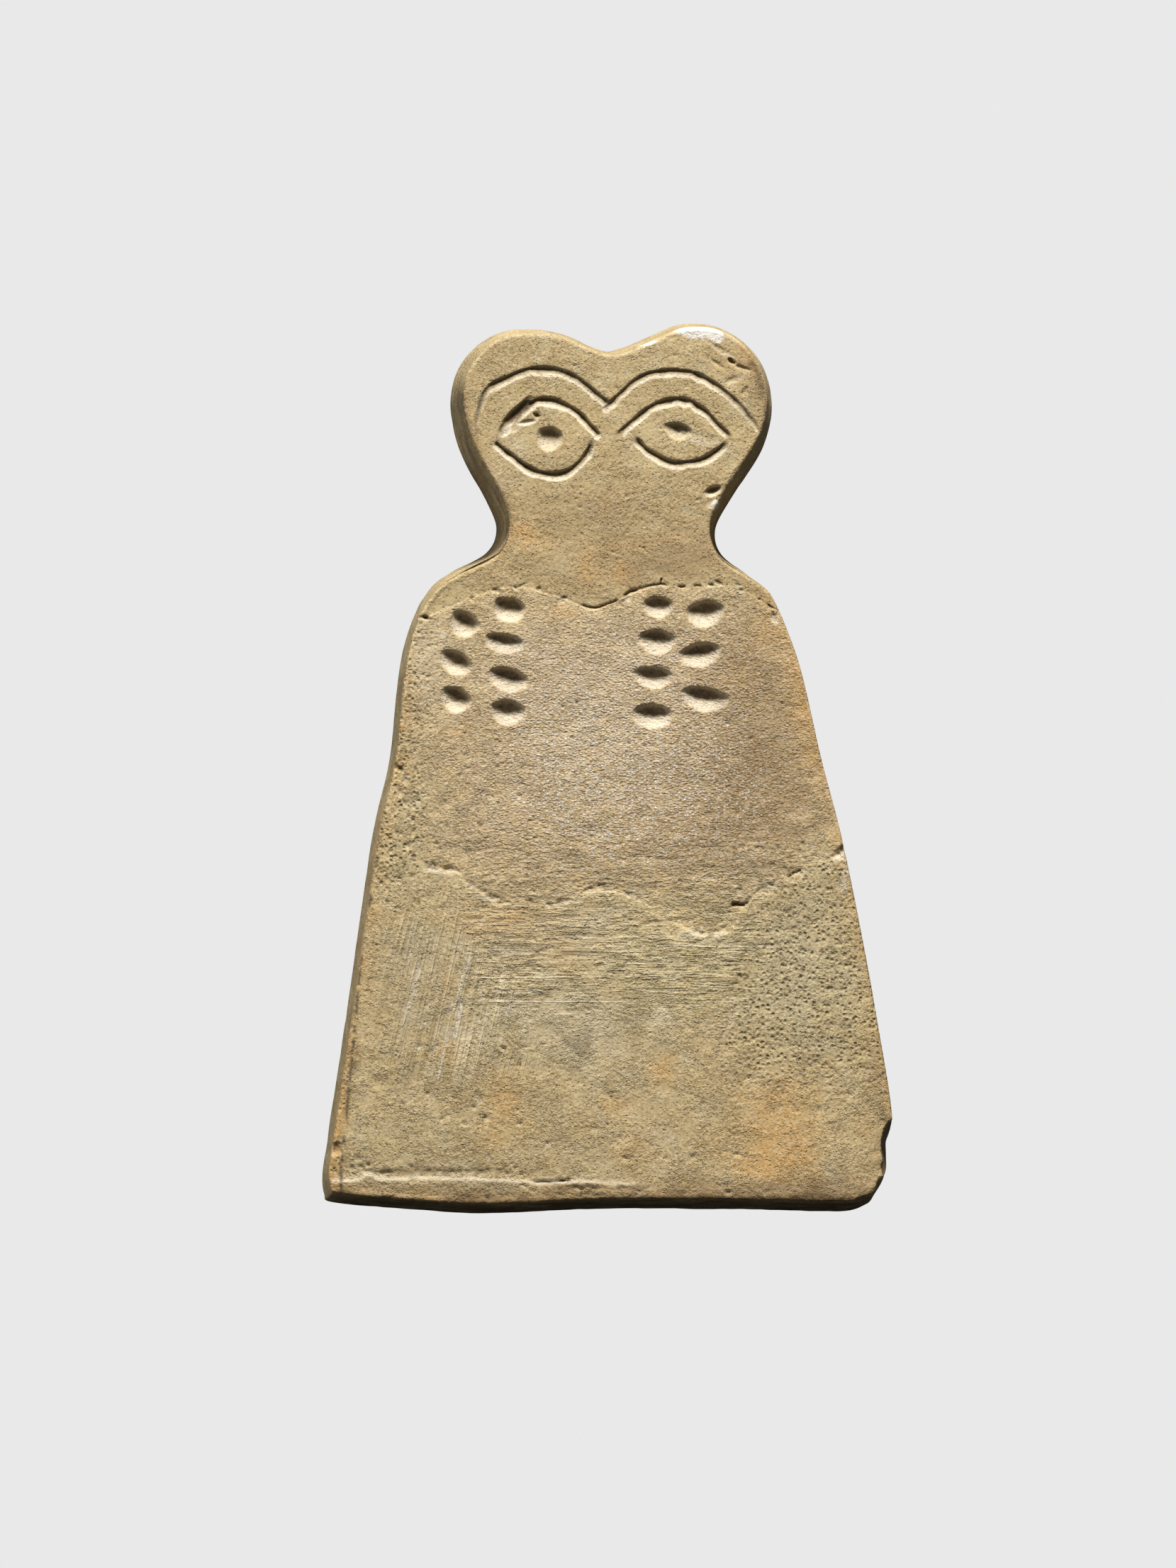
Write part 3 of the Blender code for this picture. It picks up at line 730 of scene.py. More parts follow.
    crystals: tuple[Patch, ...] = (
        Patch(-0.8, -3.2, 5.0, 3.6, 1.0, turn=-15),
        Patch(2.5, 0.5, 6.5, 4.5, 0.65),
        Patch(6.5, -1.5, 5.0, 4.5, 0.55),
        Patch(-4.6, 8.4, 1.8, 1.6, 0.45),
        Patch(-13.2, 9.4, 1.2, 1.0, 0.55),
        Patch(-3.0, 4.0, 4.0, 4.0, 0.5),
        Patch(4.5, 8.5, 5.5, 3.5, 0.45),
    )
    chest_middle: tuple[float, float, float, float] = (1.5, 2.0, 14.5, 10.5)
    # Hollows from this half width on were drilled, and have an even rim
    drilled_width: float = 0.9
    line_seed: int = 5
    crumb_seed: int = 8
    line_tilt: float = 3.0
    line_bend: float = 0.04

    def __post_init__(self) -> None:
        """Draws the seeded marks once, for the relief and the looks alike."""
        carved = [*self.brows, self.brow_end, *self.lids]
        self._lines = [*carved, *self.cracks, *self.scratches, *self._rubbed()]
        self._hollows = [*self.pupils, *self.pits, *self.damage, *self._crumbs()]

    def _to_layout(self, x: np.ndarray, y: np.ndarray) -> tuple[np.ndarray, np.ndarray]:
        """Plan positions counted from the face's own middle."""
        return x - self.origin[0], y - self.origin[1]

    def _follow(
        self, stroke: Stroke, x: np.ndarray, y: np.ndarray
    ) -> tuple[np.ndarray, np.ndarray, np.ndarray, np.ndarray]:
        """How deep the stroke is at each place.

        Args:
            stroke: The stroke.
            x: Layout x.
            y: Layout y.

        Returns:
            The indices of the places that it reaches, its depth there, its share of full depth, and how far
            each place is down its lower slope.
        """
        line = smooth_line(stroke.points)
        reach = stroke.half_width * (1.0 + stroke.lip) * 1.3 + stroke.wander
        low, high = line.min(axis=0) - reach, line.max(axis=0) + reach
        near = np.nonzero((x > low[0]) & (x < high[0]) & (y > low[1]) & (y < high[1]))[0]
        px, py = x[near], y[near]
        if stroke.wander:
            px = px + stroke.wander * self.noise.layers(px, py, 0.9, 2)
            py = py + stroke.wander * self.noise.layers(py + 9.0, px, 0.9, 2)
        best = np.full(len(near), np.inf)
        below = np.zeros(len(near))
        along = np.zeros(len(near))
        travelled = 0.0
        for start, end in zip(line, line[1:]):
            step = end - start
            length = float(np.linalg.norm(step))
            t = np.clip(((px - start[0]) * step[0] + (py - start[1]) * step[1]) / length**2, 0.0, 1.0)
            dx, dy = px - start[0] - t * step[0], py - start[1] - t * step[1]
            distance = np.hypot(dx, dy)
            closer = distance < best
            best = np.where(closer, distance, best)
            below = np.where(closer, -dy / np.maximum(distance, 1e-6), below)
            along = np.where(closer, travelled + t * length, along)
            travelled += length
        uneven = 1.0 + 0.38 * self.noise.at(along / 0.55, along * 0.0 + line[0][0], line[0][1])
        width = stroke.half_width * (0.5 + 0.5 * uneven) * (1.0 + stroke.lip * np.clip(below, 0.0, 1.0))
        share = np.clip(1.0 - best / width, 0.0, 1.0)
        strength = np.ones(len(near))
        if stroke.fade_in:
            strength *= 0.12 + 0.88 * ease(0.0, stroke.fade_in, along)
        if stroke.fade_out:
            strength *= 0.12 + 0.88 * ease(0.0, stroke.fade_out, travelled - along)
        hit = share > 0.0
        slope = (1.0 - share[hit]) * np.clip(2.0 * below[hit], 0.0, 1.0) * strength[hit]
        share = share[hit] * strength[hit]
        return near[hit], stroke.depth * share * uneven[hit], share, slope

    def _dig(
        self, hollow: Hollow, x: np.ndarray, y: np.ndarray, rough: float = 0.20
    ) -> tuple[np.ndarray, np.ndarray, np.ndarray]:
        """How deep the hollow is at each place.

        Args:
            hollow: The hollow.
            x: Layout x.
            y: Layout y.
            rough: How uneven its rim is, as a share of its size.

        Returns:
            The indices of the places that it reaches, its depth there, and a mask of its upper wall.
        """
        reach = max(hollow.half_width, hollow.half_height) * 1.7
        near = np.nonzero((abs(x - hollow.x) < reach) & (abs(y - hollow.y) < reach))[0]
        dx, dy = x[near] - hollow.x, y[near] - hollow.y
        angle = math.radians(hollow.turn)
        u = (dx * math.cos(angle) + dy * math.sin(angle)) / hollow.half_width
        v = (dy * math.cos(angle) - dx * math.sin(angle)) / hollow.half_height - 0.25
        v = np.where(v > 0.0, v / 0.75, v / 1.25)
        q = abs(u) ** hollow.roundness + v**2
        drilled = hollow.half_width >= self.drilled_width
        rough *= 0.4 if drilled else 1.0
        q = q * (1.0 + rough * self.noise.layers(x[near], y[near], 0.55, 3))
        bowl = np.clip(1.0 - q, 0.0, 1.0)
        depth = hollow.depth * bowl**0.85 * (1.0 + 0.10 * self.noise.layers(x[near], y[near], 0.35, 2))
        uneven = 0.12 if drilled else 0.5
        patchy = np.clip(0.9 + uneven * self.noise.layers(x[near], y[near], 0.28, 2), 0.0, 1.0)
        return near, depth, np.minimum(1.0, 1.6 * bowl) * ease(-0.45, 0.15, v) * patchy

    def _patch(self, patches: tuple[Patch, ...], x: np.ndarray, y: np.ndarray) -> np.ndarray:
        """The summed strength of some patches.

        Args:
            patches: The patches.
            x: Layout x.
            y: Layout y.

        Returns:
            Their strength at each place.
        """
        total = np.zeros_like(x)
        ragged = np.maximum(0.6, 1.0 + 0.45 * self.noise.layers(x, y + 20.0, 1.6, 4))
        for patch in patches:
            angle = math.radians(patch.turn)
            dx, dy = x - patch.x, y - patch.y
            u = (dx * math.cos(angle) + dy * math.sin(angle)) / patch.half_width
            v = (dy * math.cos(angle) - dx * math.sin(angle)) / patch.half_height
            total += patch.strength * np.exp(-(u * u + v * v) * ragged)
        return total

    def _fragments(self, x: np.ndarray, y: np.ndarray) -> tuple[np.ndarray, np.ndarray, np.ndarray]:
        """Which of the three mended fragments each place is on.

        Args:
            x: Layout x.
            y: Layout y.

        Returns:
            How far it is on the head, how far above the lower fracture, and the height of the steps.
        """
        collar, fracture = smooth_line(self.collar), smooth_line(self.fracture)
        jag = 0.22 * self.noise.layers(x, y, 0.9, 4)
        over_collar = above(collar, x, y) + 0.4 * jag
        over_fracture = above(fracture, x, y) + jag
        head = ease(-0.07, 0.07, over_collar)
        upper = ease(-0.10, 0.10, over_fracture)
        chest_drop = 0.14 - 0.11 * np.clip(over_fracture / 21.0, 0.0, 1.0)
        chest_drop = chest_drop * ease(-15.5, -12.0, x + 0.25 * over_fracture * (over_fracture < 20.0))
        head_drop = 0.08 - 0.05 * np.clip(over_collar / 14.0, 0.0, 1.0)
        drop = upper * ((1.0 - head) * chest_drop + head * head_drop)
        sharp = np.interp(x, *np.array(self.step_strength).T)
        close = np.exp(-((over_fracture / 2.5) ** 2))
        drop = drop * (1.0 - close + close * sharp)
        drop = drop * np.clip(1.0 + 0.40 * self.noise.layers(x, y, 1.3, 3), 0.3, 1.8)
        return head, upper, -drop

    def _rubbed(self) -> list[Stroke]:
        """The seeded rubbing marks of the skirt and the chest.

        Returns:
            Their strokes.
        """
        rng = np.random.default_rng(self.line_seed)
        strokes = []
        for middle, spread, turn, length, count in self.rubbing:
            for _ in range(count):
                x, y = np.array(middle) + rng.uniform(-1.0, 1.0, 2) * spread
                angle = math.radians(turn + rng.normal(0.0, self.line_tilt))
                reach = length * rng.uniform(0.35, 1.0) / 2
                dx, dy = reach * math.cos(angle), reach * math.sin(angle)
                bend = rng.normal(0.0, self.line_bend)
                points = ((x - dx, y - dy), (x - bend * dy, y + bend * dx), (x + dx, y + dy))
                width = rng.uniform(0.06, 0.12)
                strokes.append(
                    Stroke(points, width, width * rng.uniform(0.3, 0.8), fade_in=reach * 0.6,
                           fade_out=reach * 0.6, lip=0.8, dirt_and_shade=0.30 * (turn < 45.0), crest=0.25,
                           pale=rng.uniform(0.0, 0.3) * (70.0 < turn < 79.5), wander=0.03)
                )
        return strokes

    def _crumbs(self) -> list[Hollow]:
        """Small seeded chips along the two fractures, and dents scattered over the face.

        Returns:
            Their hollows.
        """
        rng = np.random.default_rng(self.crumb_seed)
        crumbs = []
        for line, count, low, high in ((self.fracture, 80, -13.4, 17.5), (self.collar, 24, -14.0, 12.5)):
            path = smooth_line(line)
            for _ in range(count):
                x = rng.uniform(low, high)
                y = float(np.interp(x, path[:, 0], path[:, 1])) + rng.normal(0.0, 0.14)
                size = rng.uniform(0.08, 0.24)
                crumbs.append(
                    Hollow(x, y, size * rng.uniform(1.0, 2.2), size, size * rng.uniform(0.3, 0.8),
                           turn=rng.uniform(-35.0, 35.0), dirt_and_shade=rng.uniform(0.1, 0.8),
                           pale=rng.uniform(0.0, 0.5))
                )
        for middle, spread, small, large, stretch, count in self.dents:
            for _ in range(count):
                x, y = np.array(middle) + rng.uniform(-1.0, 1.0, 2) * spread
                size = rng.uniform(small, large)
                crumbs.append(
                    Hollow(x, y, size, size * stretch, size * rng.uniform(0.15, 0.6),
                           turn=rng.uniform(-25.0, 25.0), dirt_and_shade=rng.uniform(0.0, 0.6),
                           pale=rng.uniform(0.0, 0.2))
                )
        return crumbs

    def _off_side(self, x: np.ndarray, y: np.ndarray) -> np.ndarray:
        """How far each place is to the left of the line beside the left edge."""
        side = smooth_line(self.side_line)
        return np.interp(y, side[::-1, 1], side[::-1, 0]) - x

    def _tooling(self, x: np.ndarray, y: np.ndarray) -> np.ndarray:
        """The low ridges left by rubbing: level on the skirt's top, slanting at its left.

        Args:
            x: Layout x.
            y: Layout y.

        Returns:
            Their height.
        """
        level = ease(-19.5, -15.5, y) * ease(-2.5, -7.5, y + 0.12 * abs(x))
        level = level * (1.0 - ease(8.0, 12.5, abs(x - 1.0)))
        slant = ease(-17.5, -15.0, x) * ease(-3.5, -6.5, x + 0.2 * (y + 18.0)) * ease(-25.0, -21.0, y)
        slant = slant * ease(-9.0, -12.5, y)
        ridges = self.noise.layers(x / 7.0, y + 0.05 * x, 0.50, 2)
        across = x * math.cos(0.2) - y * math.sin(0.2)
        down = x * math.sin(0.2) + y * math.cos(0.2)
        combing = self.noise.layers(across, down / 7.0, 0.45, 2)
        return 0.026 * level * ridges + 0.022 * slant * combing

    def height(self, x: np.ndarray, y: np.ndarray) -> np.ndarray:
        """The relief of the face.

        Args:
            x: Plan x.
            y: Plan y.

        Returns:
            Its height above the flat face, mostly below 0.
        """
        x, y = self._to_layout(x, y)
        _, _, relief = self._fragments(x, y)
        relief = relief + 0.045 * self.noise.layers(x, y, 9.0, 2) + 0.034 * self.noise.layers(x, y, 1.5, 3)
        relief = relief + self._tooling(x, y)
        over_border = above(smooth_line(self.border_line), x, y) + 0.05 * self.noise.layers(x, y, 0.8, 2)
        fade = 1.0 - ease(-1.0, 5.0, x)
        relief -= 0.12 * fade * ease(-0.07, 0.07, over_border) * (1.0 - ease(0.2, 3.2, over_border))
        relief -= 0.12 * np.clip(-over_border - 0.15, 0.0, 2.2) * (1.0 - 0.4 * ease(4.0, 9.0, x))
        off_side = self._off_side(x, y) + 0.05 * self.noise.layers(y, x, 1.2, 2)
        along = ease(-1.0, -9.0, y)
        relief -= 0.40 * along * np.clip(off_side, 0.0, 1.4)
        relief -= 0.06 * along * np.exp(-((off_side / 0.13) ** 2))
        cut = np.zeros_like(relief)
        for stroke in self._lines:
            near, depth, _, _ = self._follow(stroke, x, y)
            cut[near] = np.maximum(cut[near], depth)
        for hollow in self._hollows:
            near, depth, _ = self._dig(hollow, x, y)
            cut[near] = np.maximum(cut[near], depth)
        return np.minimum(relief - cut, -0.01)

    def masks(self, x: np.ndarray, y: np.ndarray) -> dict[str, np.ndarray]:
        """Where the face has each of its looks, from 0 to 1.

        Args:
            x: Plan x.
            y: Plan y.

        Returns:
            The masks by name.
        """
        x, y = self._to_layout(x, y)
        head, upper, _ = self._fragments(x, y)
        chest = upper * (1.0 - head)
        mx, my, rx, ry = self.chest_middle
        centre = np.exp(-(((x - mx) / rx) ** 4) - ((y - my) / ry) ** 4)
        dirt_and_shade, pale = np.zeros_like(x), np.zeros_like(x)
        for stroke in self._lines:
            near, _, share, slope = self._follow(stroke, x, y)
            # Each cut is darker on its floor and upper wall but not on its lower slope: dirt, and painted
            # shade where the wall faces away from the light
            cut_dirt_and_shade = stroke.dirt_and_shade * np.minimum(1.0, 2.2 * share) * (1.0 - np.minimum(1.0, 1.5 * slope))
            dirt_and_shade[near] = np.maximum(dirt_and_shade[near], cut_dirt_and_shade)
            scraped = stroke.pale * np.minimum(1.0, 1.6 * share)
            # The lower slope, which faces the light, is made paler: a painted highlight
            worn = stroke.crest * ease(0.25, 0.7, slope)
            pale[near] = np.maximum.reduce([pale[near], scraped, worn])
        for hollow in self._hollows:
            near, depth, upper_wall = self._dig(hollow, x, y)
            # Each hollow's upper wall, which faces away from the light, is darkened: a painted shadow. The
            # rest is paler: fresh stone, and a painted highlight on the lower wall.
            dirt_and_shade[near] = np.maximum(dirt_and_shade[near], hollow.dirt_and_shade * upper_wall)
            open_share = np.minimum(1.0, 3.0 * depth / hollow.depth) * (1.0 - upper_wall)
            pale[near] = np.maximum(pale[near], hollow.pale * open_share)
        off_side = self._off_side(x, y)
        along = ease(-1.0, -9.0, y)
        ragged = self.noise.layers(x, y, 0.5, 2)
        pale = np.maximum(pale, self._patch(self.bleached_and_highlit, x, y) * (1.0 - 0.9 * dirt_and_shade))
        # A dark broken line along the side line, in its crease: dirt and painted shade
        grime_and_shade = np.exp(-(((off_side + 0.05) / 0.15) ** 2)) * along * ease(-0.45, 0.25, ragged)
        over_border = above(smooth_line(self.border_line), x, y)
        # A paler line on the border's ridge, which faces the light: a painted highlight
        lit = np.exp(-((over_border / 0.13) ** 2)) * (1.0 - ease(-2.0, 4.0, x)) * (x > -20.0)
        strip = along * ease(0.0, 0.25, off_side)
        right_skirt = (1.0 - upper) * ease(8.0, 12.0, x - 0.25 * (y + 14.0)) * ease(-26.0, -20.0, y)
        left_edge = ease(-11.5, -14.5, x + 0.15 * (y + 4.0)) * ease(-12.0, -6.0, y) * (1.0 - head)
        flank = ease(-10.5, -13.0, x) * ease(1.0, 4.0, y)
        combed = (1.0 - ease(9.0, 12.5, abs(x - 0.5))) * ease(-19.0, -15.0, y) * ease(-5.0, -8.5, y)
        slanted = ease(-17.5, -15.0, x) * ease(-4.5, -7.5, x + 0.25 * (y + 18.0))
        slanted = slanted * ease(-24.5, -21.0, y) * ease(-9.5, -12.0, y)
        flaky = chest * ease(-1.5, -6.0, y + 0.10 * x) * ease(-12.5, -8.0, x)
        return {
            "ochre": np.clip(self._patch(self.ochre, x, y) + 0.30 * strip, 0.0, 1.0),
            "pink": chest * centre,
            "umber": np.clip(self._patch(self.umber, x, y) + 0.45 * strip, 0.0, 1.0),
            "head": head,
            "olive": np.clip(self._patch(self.olive, x, y), 0.0, 1.0),
            "dirt_and_shade": np.clip(np.maximum(dirt_and_shade, 0.85 * grime_and_shade), 0.0, 1.0),
            "pale": np.clip(np.maximum(pale, 0.55 * lit), 0.0, 1.0),
            "crystal": np.clip(self._patch(self.crystals, x, y), 0.0, 1.0) * chest + 0.25 * chest * centre,
            "pitted": np.clip(right_skirt + left_edge + 0.6 * flank * chest + 0.7 * strip, 0.0, 1.0),
            "combed": combed * (1.0 - 0.65 * upper),
            "slanted": slanted,
            "chalk": ease(0.35, 0.6, self._patch(self.chalk, x, y)),
            "flaky": flaky,
            "soil": ease(0.15, 0.7, self._patch(self.soil, x, y) * (1.0 + 0.5 * ragged)),
        }


@dataclass
class Plaque:
    """The idol itself: one worn piece of stone."""

    thickness: float = 6.0
    back_round: float = 0.45
    face_round: float = 0.36
    columns: int = 34
    rows: int = 62
    cuts: int = 9
    back_share: float = 0.2
    foot_rows: tuple[float, float] = (0.42, 0.53)
    most_triangles: int = 190_000
    outline: Outline = field(default_factory=Outline)
    carving: Carving = field(default_factory=Carving)
    noise: Lattice = field(default_factory=lambda: Lattice(29))
    # Chips off the rim, as balls: middle, height of the middle, radii
    bites: tuple[tuple[float, float, float, float, float, float], ...] = (
        (20.75, -28.4, 6.6, 1.15, 2.9, 3.2),
        (19.9, -30.9, 6.3, 0.7, 1.0, 2.0),
        (18.7, -32.2, 6.7, 1.3, 1.0, 3.0),
        (6.6, 31.95, 6.4, 1.7, 0.55, 0.75),
        (-14.1, 11.1, 6.2, 0.55, 0.30, 0.9),
        (12.75, 11.0, 6.3, 0.40, 0.30, 0.7),
        (8.9, 19.5, 6.2, 0.7, 0.8, 0.8),
        (-16.2, 2.0, 6.2, 0.5, 0.9, 0.8),
        (-15.9, -0.3, 6.2, 0.6, 0.5, 0.7),
        (17.2, -6.2, 6.2, 0.7, 0.6, 0.8),
        (17.6, -7.6, 6.2, 0.5, 0.6, 0.6),
        (-19.9, -28.0, 6.2, 0.5, 0.7, 0.6),
        (-20.5, -31.6, 6.4, 1.0, 0.55, 2.2),
    )

    def _block(self) -> bpy.types.Object:
        """A flat block with a fine grid on its face and sides and a coarse one on its back.

        Returns:
            The block, 2 wide and long and 1 thick.
        """
        bpy.ops.object.select_all(action="DESELECT")
        bpy.ops.mesh.primitive_grid_add(
            x_subdivisions=self.columns, y_subdivisions=self.rows, size=2.0, location=(0.0, 0.0, 1.0)
        )
        block = bpy.context.object
        bpy.ops.object.transform_apply(location=True, rotation=False, scale=False)
        bpy.ops.object.mode_set(mode="EDIT")
        bpy.ops.mesh.select_all(action="SELECT")
        bpy.ops.mesh.extrude_region_move(TRANSFORM_OT_translate={"value": (0.0, 0.0, -1.0)})
        bpy.ops.mesh.select_all(action="SELECT")
        bpy.ops.mesh.normals_make_consistent(inside=False)
        bpy.ops.mesh.select_all(action="DESELECT")
        bpy.ops.object.mode_set(mode="OBJECT")
        for polygon in block.data.polygons:
            polygon.select = polygon.center.z > 0.01
        bpy.ops.object.mode_set(mode="EDIT")
        bpy.ops.mesh.select_mode(type="FACE")
        bpy.ops.mesh.subdivide(number_cuts=self.cuts, ngon=True)
        bpy.ops.object.mode_set(mode="OBJECT")
        return block

    def _rim(self, loop: np.ndarray, x: np.ndarray, y: np.ndarray, near: np.ndarray) -> np.ndarray:
        """Distance in from an outline.

        Args:
            loop: The closed outline.
            x: Plan x.
            y: Plan y.
            near: Which places may be near it.

        Returns:
            The distance, which is 9 for the places that are far.
        """
        tree = tree_of(loop)
        distance = np.full(len(x), 9.0)
        for index in np.nonzero(near)[0]:
            distance[index] = tree.find((x[index], y[index], 0.0))[2]
        return distance

    def _shape(self, places: np.ndarray) -> np.ndarray:
        """Moves the block's corners to the plaque's surface.

        Args:
            places: Corners of the block: -1 to 1 across and up, and 0 at the back to 1 at the face.

        Returns:
            The corners of the plaque, in millimetres.
        """
        s, row, w = (places[:, 0] + 1) / 2, (places[:, 1] + 1) / 2, places[:, 2]
        share, height_share = self.foot_rows
        t = np.interp(row, (0.0, share, 1.0), (0.0, height_share, 1.0))
        back = self.outline.spread(s, t, self.outline.at_level(0.0, self.back_round))
        wide = self.outline.spread(s, t, self.outline.at_level(0.0))
        top = self.outline.spread(s, t, self.outline.at_level(1.0))
        turn = np.clip(w / self.back_share, 0.0, 1.0) * math.pi / 2
        climb = np.clip((w - self.back_share) / (1.0 - self.back_share), 0.0, 1.0)
        plan = back + (wide - back) * np.sin(turn)[:, None] + (top - wide) * climb[:, None]
        rise = self.back_round * (1.0 - np.cos(turn))
        wall_top = self.thickness - self.face_round
        z = rise + climb * (wall_top - self.back_round)
        on_face = w > 0.999
        inside = np.minimum(np.minimum(s, 1 - s) * 24.0, np.minimum(t, 1 - t) * 60.0)
        x, y = plan[:, 0], plan[:, 1]
        distance = self._rim(self.outline.at_level(1.0), x, y, on_face & (inside < 3.0))
        worn = self.face_round * (1.0 + 0.35 * self.noise.layers(x, y, 3.0, 2))
        worn = np.clip(worn, 0.2, 0.7)
        inward = np.clip(1.0 - distance / worn, 0.0, 1.0)
        rounding = self.face_round * (1.0 - np.sqrt(1.0 - inward**2))
        face = self.thickness + self.carving.height(x, y) * ease(0.0, 0.5, distance) - rounding
        z = np.where(on_face, face, z)
        on_wall = (w > 0.001) & ~on_face
        wear = self.noise.at(x / 1.6, y / 1.6, z / 0.9) + 0.5 * self.noise.at(x / 0.7, y / 0.7, z / 0.22)
        ring = self._outward(x, y, on_wall)
        plan = plan - ring * (0.05 * (1.0 + wear) * on_wall * np.sin(np.pi * np.clip(w, 0, 1)))[:, None]
        uneven = np.clip(1.0 + self.noise.layers(x, y, 7.0, 2), 0.0, 2.0)
        under = (w < 0.001) * (inside > 0.8) * 0.04 * uneven
        z = z + under
        z = self._bite(plan[:, 0], plan[:, 1], z)
        return np.stack([plan[:, 0], plan[:, 1], z], axis=1)

    def _outward(self, x: np.ndarray, y: np.ndarray, chosen: np.ndarray) -> np.ndarray:
        """The outline's outward direction next to each chosen place, and 0 for the others.

        Args:
            x: Plan x.
            y: Plan y.
            chosen: Which places to find it for.

        Returns:
            The directions, one row each.
        """
        tree = tree_of(self.outline.loop)
        found = np.zeros((len(x), 2))
        for index in np.nonzero(chosen)[0]:
            found[index] = self.outline.normals[tree.find((x[index], y[index], 0.0))[1]]
        return found

    def _bite(self, x: np.ndarray, y: np.ndarray, z: np.ndarray) -> np.ndarray:
        """Lowers the places that lie in a chip off the rim to the chip's surface.

        Args:
            x: Plan x.
            y: Plan y.
            z: Heights.

        Returns:
            The lowered heights.
        """
        rough = 1.0 + 0.10 * self.noise.layers(x, y, 1.1, 3)
        for middle_x, middle_y, middle_z, across, up, deep in self.bites:
            u, v = (x - middle_x) / (across * rough), (y - middle_y) / (up * rough)
            inside = np.clip(1.0 - u * u - v * v, 0.0, 1.0)
            floor = middle_z - deep * np.sqrt(inside)
            z = np.where(inside > 0.0, np.minimum(z, floor), z)
        return z

    def build(self) -> bpy.types.Object:
        """Builds the carved plaque.

        Returns:
            The finished piece.
        """
        piece = self._block()
        piece.name = piece.data.name = "carved_idol"
        mesh = piece.data
        places = np.empty(len(mesh.vertices) * 3)
        mesh.vertices.foreach_get("co", places)
        surface = self._shape(places.reshape(-1, 3))
        mesh.vertices.foreach_set("co", (surface * MM).ravel())
        mesh.update()
        self._thin(piece)
        self._mark(mesh)
        bpy.ops.object.select_all(action="DESELECT")
        piece.select_set(True)
        bpy.context.view_layer.objects.active = piece
        bpy.ops.object.shade_smooth()
        return piece

    def _thin(self, piece: bpy.types.Object) -> None:
        """Thins the mesh where it is flat, to its limit of triangles.

        Args:
            piece: The carved plaque.
        """
        mesh = piece.data
        mesh.calc_loop_triangles()
        count = len(mesh.loop_triangles)
        if count <= self.most_triangles:
            return
        thin = piece.modifiers.new("thin", "DECIMATE")
        thin.ratio = self.most_triangles / count
        bpy.ops.object.select_all(action="DESELECT")
        piece.select_set(True)
        bpy.context.view_layer.objects.active = piece
        bpy.ops.object.modifier_apply(modifier=thin.name)

    def _mark(self, mesh: bpy.types.Mesh) -> None:
        """Writes the masks of the looks to the mesh, as colour attributes of its vertices.

        Args:
            mesh: The carved plaque's mesh.
        """
        places = np.empty(len(mesh.vertices) * 3)
        mesh.vertices.foreach_get("co", places)
        x, y, z = places.reshape(-1, 3).T / MM
        normals = np.empty(len(mesh.vertices) * 3)
        mesh.vertices.foreach_get("normal", normals)
        up = ease(0.25, 0.75, normals.reshape(-1, 3)[:, 2]) * ease(3.8, 4.8, z)
        masks = self.carving.masks(x, y)
        chalk = masks.pop("chalk") * ease(4.4, 5.2, z + 0.4 * self.noise.layers(x, y, 0.7, 2))
        masks = {name: mask * up for name, mask in masks.items()}
        masks["chalk"] = chalk
        distance = self._rim(self.outline.at_level(1.0), x, y, z > 3.0)
        rim = up * np.clip(1.0 - distance / 0.75, 0.0, 1.0)
        ragged = 0.5 + 0.5 * self.noise.layers(x, y, 1.2, 3)
        crown = ease(26.0, 29.0, y)
        # The crown's rim, which faces the light, is made paler: a painted highlight
        lay(masks, "pale", 0.14 * crown * rim * ragged)
        # The left cheek's rim, which faces away from the light, is darkened with umber: painted shade
        cheek_rim = rim * (x < 0.0) * ease(28.5, 26.5, y) * ease(14.0, 16.5, y)
        lay(masks, "umber", 0.8 * cheek_rim)
        flushed = np.clip(1.0 - distance / 1.3, 0.0, 1.0) * (1.0 - crown) * up
        left_wall = (x < -15.0) * ease(-1.0, -5.0, y) * ease(-31.0, -29.5, y)
        left_wall = left_wall * (1.0 - up) * ease(1.5, 4.0, z)
        flushed = (0.65 - 0.15 * (x > 0.0)) * flushed * (0.35 + ragged) * (1.0 - 0.8 * ease(4.0, 9.0, y))
        lay(masks, "ochre", flushed + 0.35 * left_wall)
        # The left wall is also made paler: painted light
        lay(masks, "pale", 0.12 * left_wall * ragged)
        # The corner chip's hollow, and the sides of the foot and of the left cheek, which face away from the
        # light, are darkened in streaks: painted shade
        chip = ease(0.1, 0.5, self.thickness - self.face_round - z) * ease(17.5, 18.4, x) * (y < -25.0)
        foot = ease(-30.9, -31.6, y) * (1.0 - up) * (z > 0.3)
        cheek = (x < 0.0) * ease(28.5, 26.5, y) * ease(14.0, 16.5, y) * (1.0 - up) * (z > 0.3)
        streaks = np.clip(0.75 + 0.5 * self.noise.layers(x + y, z * 6.0, 1.6, 3), 0.0, 1.0)
        grime_and_shade = np.maximum.reduce([0.5 * chip * (z > 2.5), 0.78 * foot, 0.62 * cheek]) * streaks
        lay(masks, "dirt_and_shade", grime_and_shade)
        masks["side"] = 1.0 - up
        # The wear colours hold dirt with painted shade, paler wear and fresh stone with painted highlights,
        # and the crystals
        packed = {
            "tone": ("ochre", "pink", "umber"),
            "wear": ("dirt_and_shade", "pale", "crystal"),
            "cut": ("pitted", "combed", "slanted"),
            "zone": ("head", "olive", "side"),
            "skin": ("flaky", "soil", "chalk"),
        }
        for attribute, names in packed.items():
            colours = np.ones((len(x), 4))
            for channel, name in enumerate(names):
                colours[:, channel] = masks[name]
            mesh.attributes.new(attribute, "FLOAT_COLOR", "POINT")
            mesh.attributes[attribute].data.foreach_set("color", colours.ravel())


